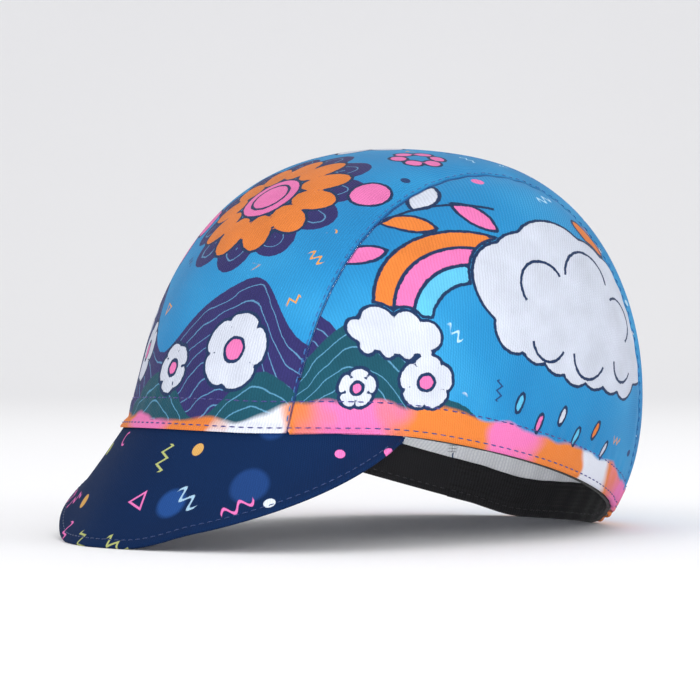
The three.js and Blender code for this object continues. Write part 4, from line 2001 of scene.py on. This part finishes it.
@dataclass
class Peak:
    """Peak of two covers. The upper cover is turned round the edge and sewn to the lower one."""

    form: CapForm
    finishes: Finishes
    edge_radius: float = 0.95
    roll_end: float = math.radians(165)
    flare_length: float = 12.0
    cover: float = 0.62
    root_depth: float = 2.5
    tuck_height: float = 2.6
    tuck_depth: float = 0.95
    corner_length: float = 2.0
    stitch_inset: float = 3.2
    stitch_lift: float = 0.04
    stitch_turn: float = 0.93
    stitch_points: int = 500
    groove: float = 0.16
    groove_width: float = 0.7
    groove_from: float = 6.0
    groove_fade: float = 8.0
    sway: float = 0.12
    short_share: float = 0.8
    root_inset: float = 0.3
    under_inset: float = 1.4
    under_taper: float = 14.0
    face_crowding: float = 0.7
    under_crowding: float = 0.5
    columns: int = 250
    tuck_rows: int = 5
    face_rows: int = 60
    roll_rows: int = 12
    under_rows: int = 44
    seam: StitchRow = StitchRow(stitch=2.4, gap=0.8, thread=0.36)

    @cached_property
    def last_turn(self) -> float:
        """Turn at which the peak is still as long as its corner."""
        trial = np.linspace(0.6, 1.0, TRIALS)
        return float(np.interp(-self.corner_length, -self._span(trial), trial))

    def _span(self, turn: np.ndarray) -> np.ndarray:
        """Length of the peak from root to edge."""
        return np.linalg.norm(self.form.peak_fall(turn), axis=-1)

    def _sewn(self, inset: np.ndarray, span: np.ndarray) -> np.ndarray:
        """Depth of the groove along the stitches, which fades out where the peak is short."""
        sewn = valley(inset - self.stitch_inset, self.groove_width)
        return self.groove * sewn * smooth((span - self.groove_from) / self.groove_fade)

    def _face(self, turn: np.ndarray, inset: np.ndarray, lift: float = 0.0) -> np.ndarray:
        """Upper face, flared up towards the edge and drawn in along the stitches.

        Args:
            turn: Runs from one corner at -1 to the other at 1.
            inset: Distance in from the edge.
            lift: Height above the face in millimetres.

        Returns:
            Points with the rim level.
        """
        span = self._span(turn)
        fall = 1 - inset / span
        reach = np.minimum(self.flare_length, self.short_share * span)
        flare = self.edge_radius * (1 - smooth(inset / reach))
        sway = self.sway * np.sin(turn * 6.0 + 0.8) * np.sin(np.pi * np.clip(fall, 0, 1))
        proud = flare + sway - self._sewn(inset, span) + lift
        return self.form.peak(turn, fall) + self.form.peak_normal(turn) * proud[..., None]

    def _roll(self, turn: np.ndarray, angle: np.ndarray) -> np.ndarray:
        """Turned edge.

        Args:
            turn: Runs from one corner at -1 to the other at 1.
            angle: Runs from 0 at the upper face to half a turn at the underside.

        Returns:
            Points with the rim level.
        """
        outwards = unit(self.form.peak_fall(turn))
        centre = self.form.peak(turn, 1 + 0 * turn) - outwards * self.edge_radius
        spoke = self.form.peak_normal(turn) * np.cos(angle)[..., None] + outwards * np.sin(angle)[..., None]
        return centre + spoke * self.edge_radius

    def _tuck(self, turn: np.ndarray, share: np.ndarray) -> np.ndarray:
        """Root of the cover, sewn in behind the crown's hem.

        Args:
            turn: Runs from one corner at -1 to the other at 1.
            share: Runs from 0 at its top to 1 at the rim.

        Returns:
            Points with the rim level.
        """
        bearing = turn * self.form.peak_spread - np.pi / 2
        radius = self.form.radius_at(bearing[0], self.tuck_height)
        high = self.form.crown(radius * np.cos(bearing), radius * np.sin(bearing))
        normal = self.form.crown_normal(np.cos(bearing), np.sin(bearing))
        return mix(high, self.form.rim(bearing), share[..., None]) - normal * self.tuck_depth

    def _top_points(self, turn: np.ndarray, row: np.ndarray) -> np.ndarray:
        """Upper cover from its tucked root over the face and round the edge.

        Args:
            turn: Runs from one corner at -1 to the other at 1.
            row: Runs from 0 at the root to 1 at the end of the turned edge.

        Returns:
            Points with the rim level.
        """
        face_end = self.tuck_rows + self.face_rows
        at = row * (face_end + self.roll_rows)
        tucked = self._tuck(turn, np.clip(at / self.tuck_rows, 0, 1))
        share = crowded(np.clip((at - self.tuck_rows) / self.face_rows, 0, 1), self.face_crowding)
        face = self._face(turn, mix(self._span(turn) - self.root_inset, self.edge_radius, share))
        rolled = self._roll(turn, np.clip((at - face_end) / self.roll_rows, 0, 1) * self.roll_end)
        points = np.where((at < self.tuck_rows - 0.5)[..., None], tucked, face)
        return np.where((at > face_end + 0.5)[..., None], rolled, points)

    def _under_points(self, turn: np.ndarray, row: np.ndarray) -> np.ndarray:
        """Lower cover from behind the hem to the turned edge.

        Args:
            turn: Runs from one corner at -1 to the other at 1.
            row: Runs from 0 at the root to 1 at the edge.

        Returns:
            Points with the rim level.
        """
        span = self._span(turn)
        edge = self.edge_radius * self.under_inset
        inset = mix(span - self.root_inset, edge, crowded(row, self.under_crowding))
        taper = 1 - smooth(inset / np.minimum(self.under_taper, self.short_share * span))
        depth = mix(self.root_depth, self.edge_radius, taper) - self.cover - self._sewn(inset, span)
        return self.form.peak(turn, 1 - inset / span) - self.form.peak_normal(turn) * depth[..., None]

    def _cover(self, name: str, node: str, points: Placer, rows: int) -> None:
        """Model one cover and dress it.

        Args:
            name: Name of the piece.
            node: Solid that it stands for.
            points: Gives its points for turns and rows.
            rows: Faces from root to edge.
        """
        kept = {}

        def place(column: np.ndarray, row: np.ndarray) -> np.ndarray:
            """Lay the cover and keep its points."""
            kept["points"] = points(mix(self.last_turn, -self.last_turn, column), row)
            return self.form.to_row(kept["points"])

        piece = shaped_grid(name, self.columns, rows, place)
        across = running_length(kept["points"][rows // 2])
        down = running_length(kept["points"], axis=0)
        store_place(piece, "cloth_mm", across - across[-1] / 2 + 0 * down, down)
        dress(piece, "peak_cloth", self.finishes.peak)
        thicken(piece, self.cover, node)

    def build(self) -> None:
        """Model both covers and the stitching along their edge."""
        rows = self.tuck_rows + self.face_rows + self.roll_rows
        self._cover("peak_top_cloth", "peak_top_cover", self._top_points, rows)
        self._cover("peak_under_cloth", "peak_under_cover", self._under_points, self.under_rows)
        turn = np.linspace(self.stitch_turn, -self.stitch_turn, self.stitch_points)
        points = self._face(turn, self.stitch_inset + 0 * turn, self.stitch_lift)
        normals = self.form.turned(self.form.peak_normal(turn))
        row = self.seam.sew("peak_edge_stitching", self.form.to_row(points), normals)
        dress(row, "peak_cloth", self.finishes.navy_thread)


@dataclass
class CrownStitching:
    """Thread that shows on the crown: two rows round the hem and one beside each crown seam."""

    form: CapForm
    relief: CrownRelief
    finishes: Finishes
    seam_inset: float = 1.5
    seam_share: float = 0.985
    seam_points: int = 900
    hem_points: int = 1200
    row: StitchRow = StitchRow()

    def _sew(self, name: str, across: np.ndarray, along: np.ndarray, thread: bpy.types.Material) -> None:
        """Sew one row.

        Args:
            name: Name of the piece.
            across: Places in the disc towards the wearer's left.
            along: Places in the disc towards the back.
            thread: Its material.
        """
        points = self.form.to_row(self.relief.point(self.form, across, along, PROUD_THREAD))
        normals = self.form.turned(self.form.crown_normal(across, along))
        dress(self.row.sew(name, points, normals), "printed_knit", thread)

    def build(self) -> None:
        """Sew every row."""
        bearing = np.linspace(-np.pi * 1.5, np.pi * 0.5, self.hem_points)
        rows = (("hem_stitching_upper", self.relief.hem_depth),
                ("hem_stitching_lower", self.relief.edge_stitch_height))
        for name, height in rows:
            radius = self.form.radius_at(bearing, height)
            self._sew(name, radius * np.cos(bearing), radius * np.sin(bearing), self.finishes.purple_thread)
        along = np.linspace(-self.form.hem_along, self.form.hem_along, self.seam_points) * self.seam_share
        seam = self.form.seam(along)
        across = seam - self.seam_inset / self.form.across_scale(seam, along)
        self._sew("left_seam_stitching", across, along, self.finishes.blue_thread)
        self._sew("right_seam_stitching", -across, along, self.finishes.blue_thread)


# Studio

@dataclass
class Softbox:
    """Square soft light that looks at the cap."""

    name: str
    place: tuple[float, float, float]
    size: float
    power: float
    spread: float = math.pi

    def build(self, target: Vector) -> None:
        """Add the light.

        Args:
            target: Place that it looks at.
        """
        light = bpy.data.lights.new(self.name, "AREA")
        light.shape = "SQUARE"
        light.size = self.size
        light.energy = self.power
        light.spread = self.spread
        lamp = bpy.data.objects.new(self.name, light)
        lamp.location = self.place
        lamp.rotation_euler = (target - lamp.location).to_track_quat("-Z", "Y").to_euler()
        lamp.visible_camera = False
        bpy.context.scene.collection.objects.link(lamp)


@dataclass
class Studio:
    """Camera, lights and a pale seamless floor."""

    form: CapForm
    azimuth: float = math.radians(52.27)
    elevation: float = math.radians(2.81)
    distance: float = 0.9
    aim: tuple[float, float, float] = (-0.002, -0.0026, 0.0701)
    lens: float = 118.5
    floor_radius: float = 3.2
    cove_radius: float = 1.2
    cove_steps: int = 10
    floor_sides: int = 96
    paper: str = "#F2F2F4"
    grain: float = 900.0
    surface: Surface = Surface(roughness=0.95, gloss=0.1, sheen=0.0, depth=0.00002)
    glow: float = 0.9

    def camera(self) -> None:
        """Place the camera on the picture's line of sight to the rim's centre, aimed at the cap's middle."""
        outwards = Vector((
            math.sin(self.azimuth) * math.cos(self.elevation),
            -math.cos(self.azimuth) * math.cos(self.elevation),
            math.sin(self.elevation),
        ))
        data = bpy.data.cameras.new("camera")
        data.lens = self.lens
        data.clip_start = 0.05
        data.clip_end = 20.0
        camera = bpy.data.objects.new("camera", data)
        camera.location = Vector(self.form.to_row(np.zeros(3))) + outwards * self.distance
        camera.rotation_euler = (Vector(self.aim) - camera.location).to_track_quat("-Z", "Y").to_euler()
        bpy.context.scene.collection.objects.link(camera)
        bpy.context.scene.camera = camera

    def floor(self) -> None:
        """Model a round sheet of paper that curves up all round, far from the cap."""
        deselect()
        bpy.ops.mesh.primitive_circle_add(
            vertices=self.floor_sides, radius=self.floor_radius, fill_type="NGON")
        floor = bpy.context.active_object
        floor.name = "paper_floor"
        bpy.ops.object.mode_set(mode="EDIT")
        bpy.ops.mesh.select_all(action="SELECT")
        bends = [step / self.cove_steps * math.pi / 2 for step in range(self.cove_steps + 1)]
        for before, bend in zip(bends, bends[1:]):
            grown = (self.floor_radius + self.cove_radius * math.sin(bend)) / (
                self.floor_radius + self.cove_radius * math.sin(before))
            rise = self.cove_radius * (math.cos(before) - math.cos(bend))
            bpy.ops.mesh.extrude_region_move()
            bpy.ops.transform.resize(value=(grown, grown, 1.0), center_override=(0.0, 0.0, 0.0))
            bpy.ops.transform.translate(value=(0.0, 0.0, rise))
        bpy.ops.mesh.delete(type="ONLY_FACE")
        bpy.ops.object.mode_set(mode="OBJECT")
        bpy.ops.object.shade_smooth()
        nodes = Nodes("matt_studio_paper")
        place = nodes.add("TexCoord", out="Object")
        grain = nodes.add("TexNoise", inputs={"Vector": place, "Scale": self.grain})
        shades = (linear(self.paper), linear("#FFFFFF"))
        tint = nodes.add("Mix", grain, *shades, data_type="RGBA", blend_type="MULTIPLY")
        floor.data.materials.append(nodes.finish(tint, grain, self.surface))

    def lights(self) -> None:
        """Hang the soft lights and set the room's even glow."""
        target = Vector((0.0, 0.0, 0.07))
        Softbox("key_softbox", (-0.1, -1.3, 1.3), 1.1, 5.4).build(target)
        opening = Vector((0.0, 0.0, 0.05))
        Softbox("low_gridded_box", (0.95, -0.74, 0.045), 0.08, 0.13, math.radians(20)).build(opening)
        Softbox("side_softbox", (1.3, 0.65, 0.55), 0.8, 5.2).build(target)
        Softbox("top_softbox", (-0.5, 0.6, 1.9), 1.4, 5.0).build(target)
        world = bpy.context.scene.world or bpy.data.worlds.new("room")
        bpy.context.scene.world = world
        world.use_nodes = True
        background = world.node_tree.nodes["Background"]
        background.inputs["Color"].default_value = (1.0, 1.0, 1.0, 1.0)
        background.inputs["Strength"].default_value = self.glow
        bpy.context.scene.view_settings.view_transform = "Standard"


def main() -> None:
    """Build the studio and every sub-assembly of the cap."""
    logging.basicConfig(level=logging.INFO, format="%(message)s")
    deselect()
    form, relief = CapForm(), CrownRelief()
    studio = Studio(form)
    studio.camera()
    finishes = Finishes()
    CentrePanel(form, relief, finishes, centre_print(), "crown_centre_knit", "crown_centre_panel").build()
    SidePanel(form, relief, finishes, left_print(), "crown_left_knit", "crown_left_panel", side=1).build()
    SidePanel(form, relief, finishes, right_print(), "crown_right_knit", "crown_right_panel", side=-1).build()
    SeamAllowance(form, relief, finishes, 1, "left_allowance_knit", "left_seam_allowance").build()
    SeamAllowance(form, relief, finishes, -1, "right_allowance_knit", "right_seam_allowance").build()
    join = math.atan2(form.hem_along, form.hem_across)
    InnerBand(form, finishes.band, finishes.black_thread, "band_knit", "sweatband_knit", "sweatband_front",
              -math.pi - join, join).build()
    InnerBand(form, finishes.elastic, finishes.black_thread, "band_elastic", "rear_elastic_ribbed",
              "rear_elastic", join, math.pi - join, ribs=8, gather=0.15).build()
    Peak(form, finishes).build()
    CrownStitching(form, relief, finishes).build()
    studio.floor()
    studio.lights()


if __name__ == "__main__":
    main()
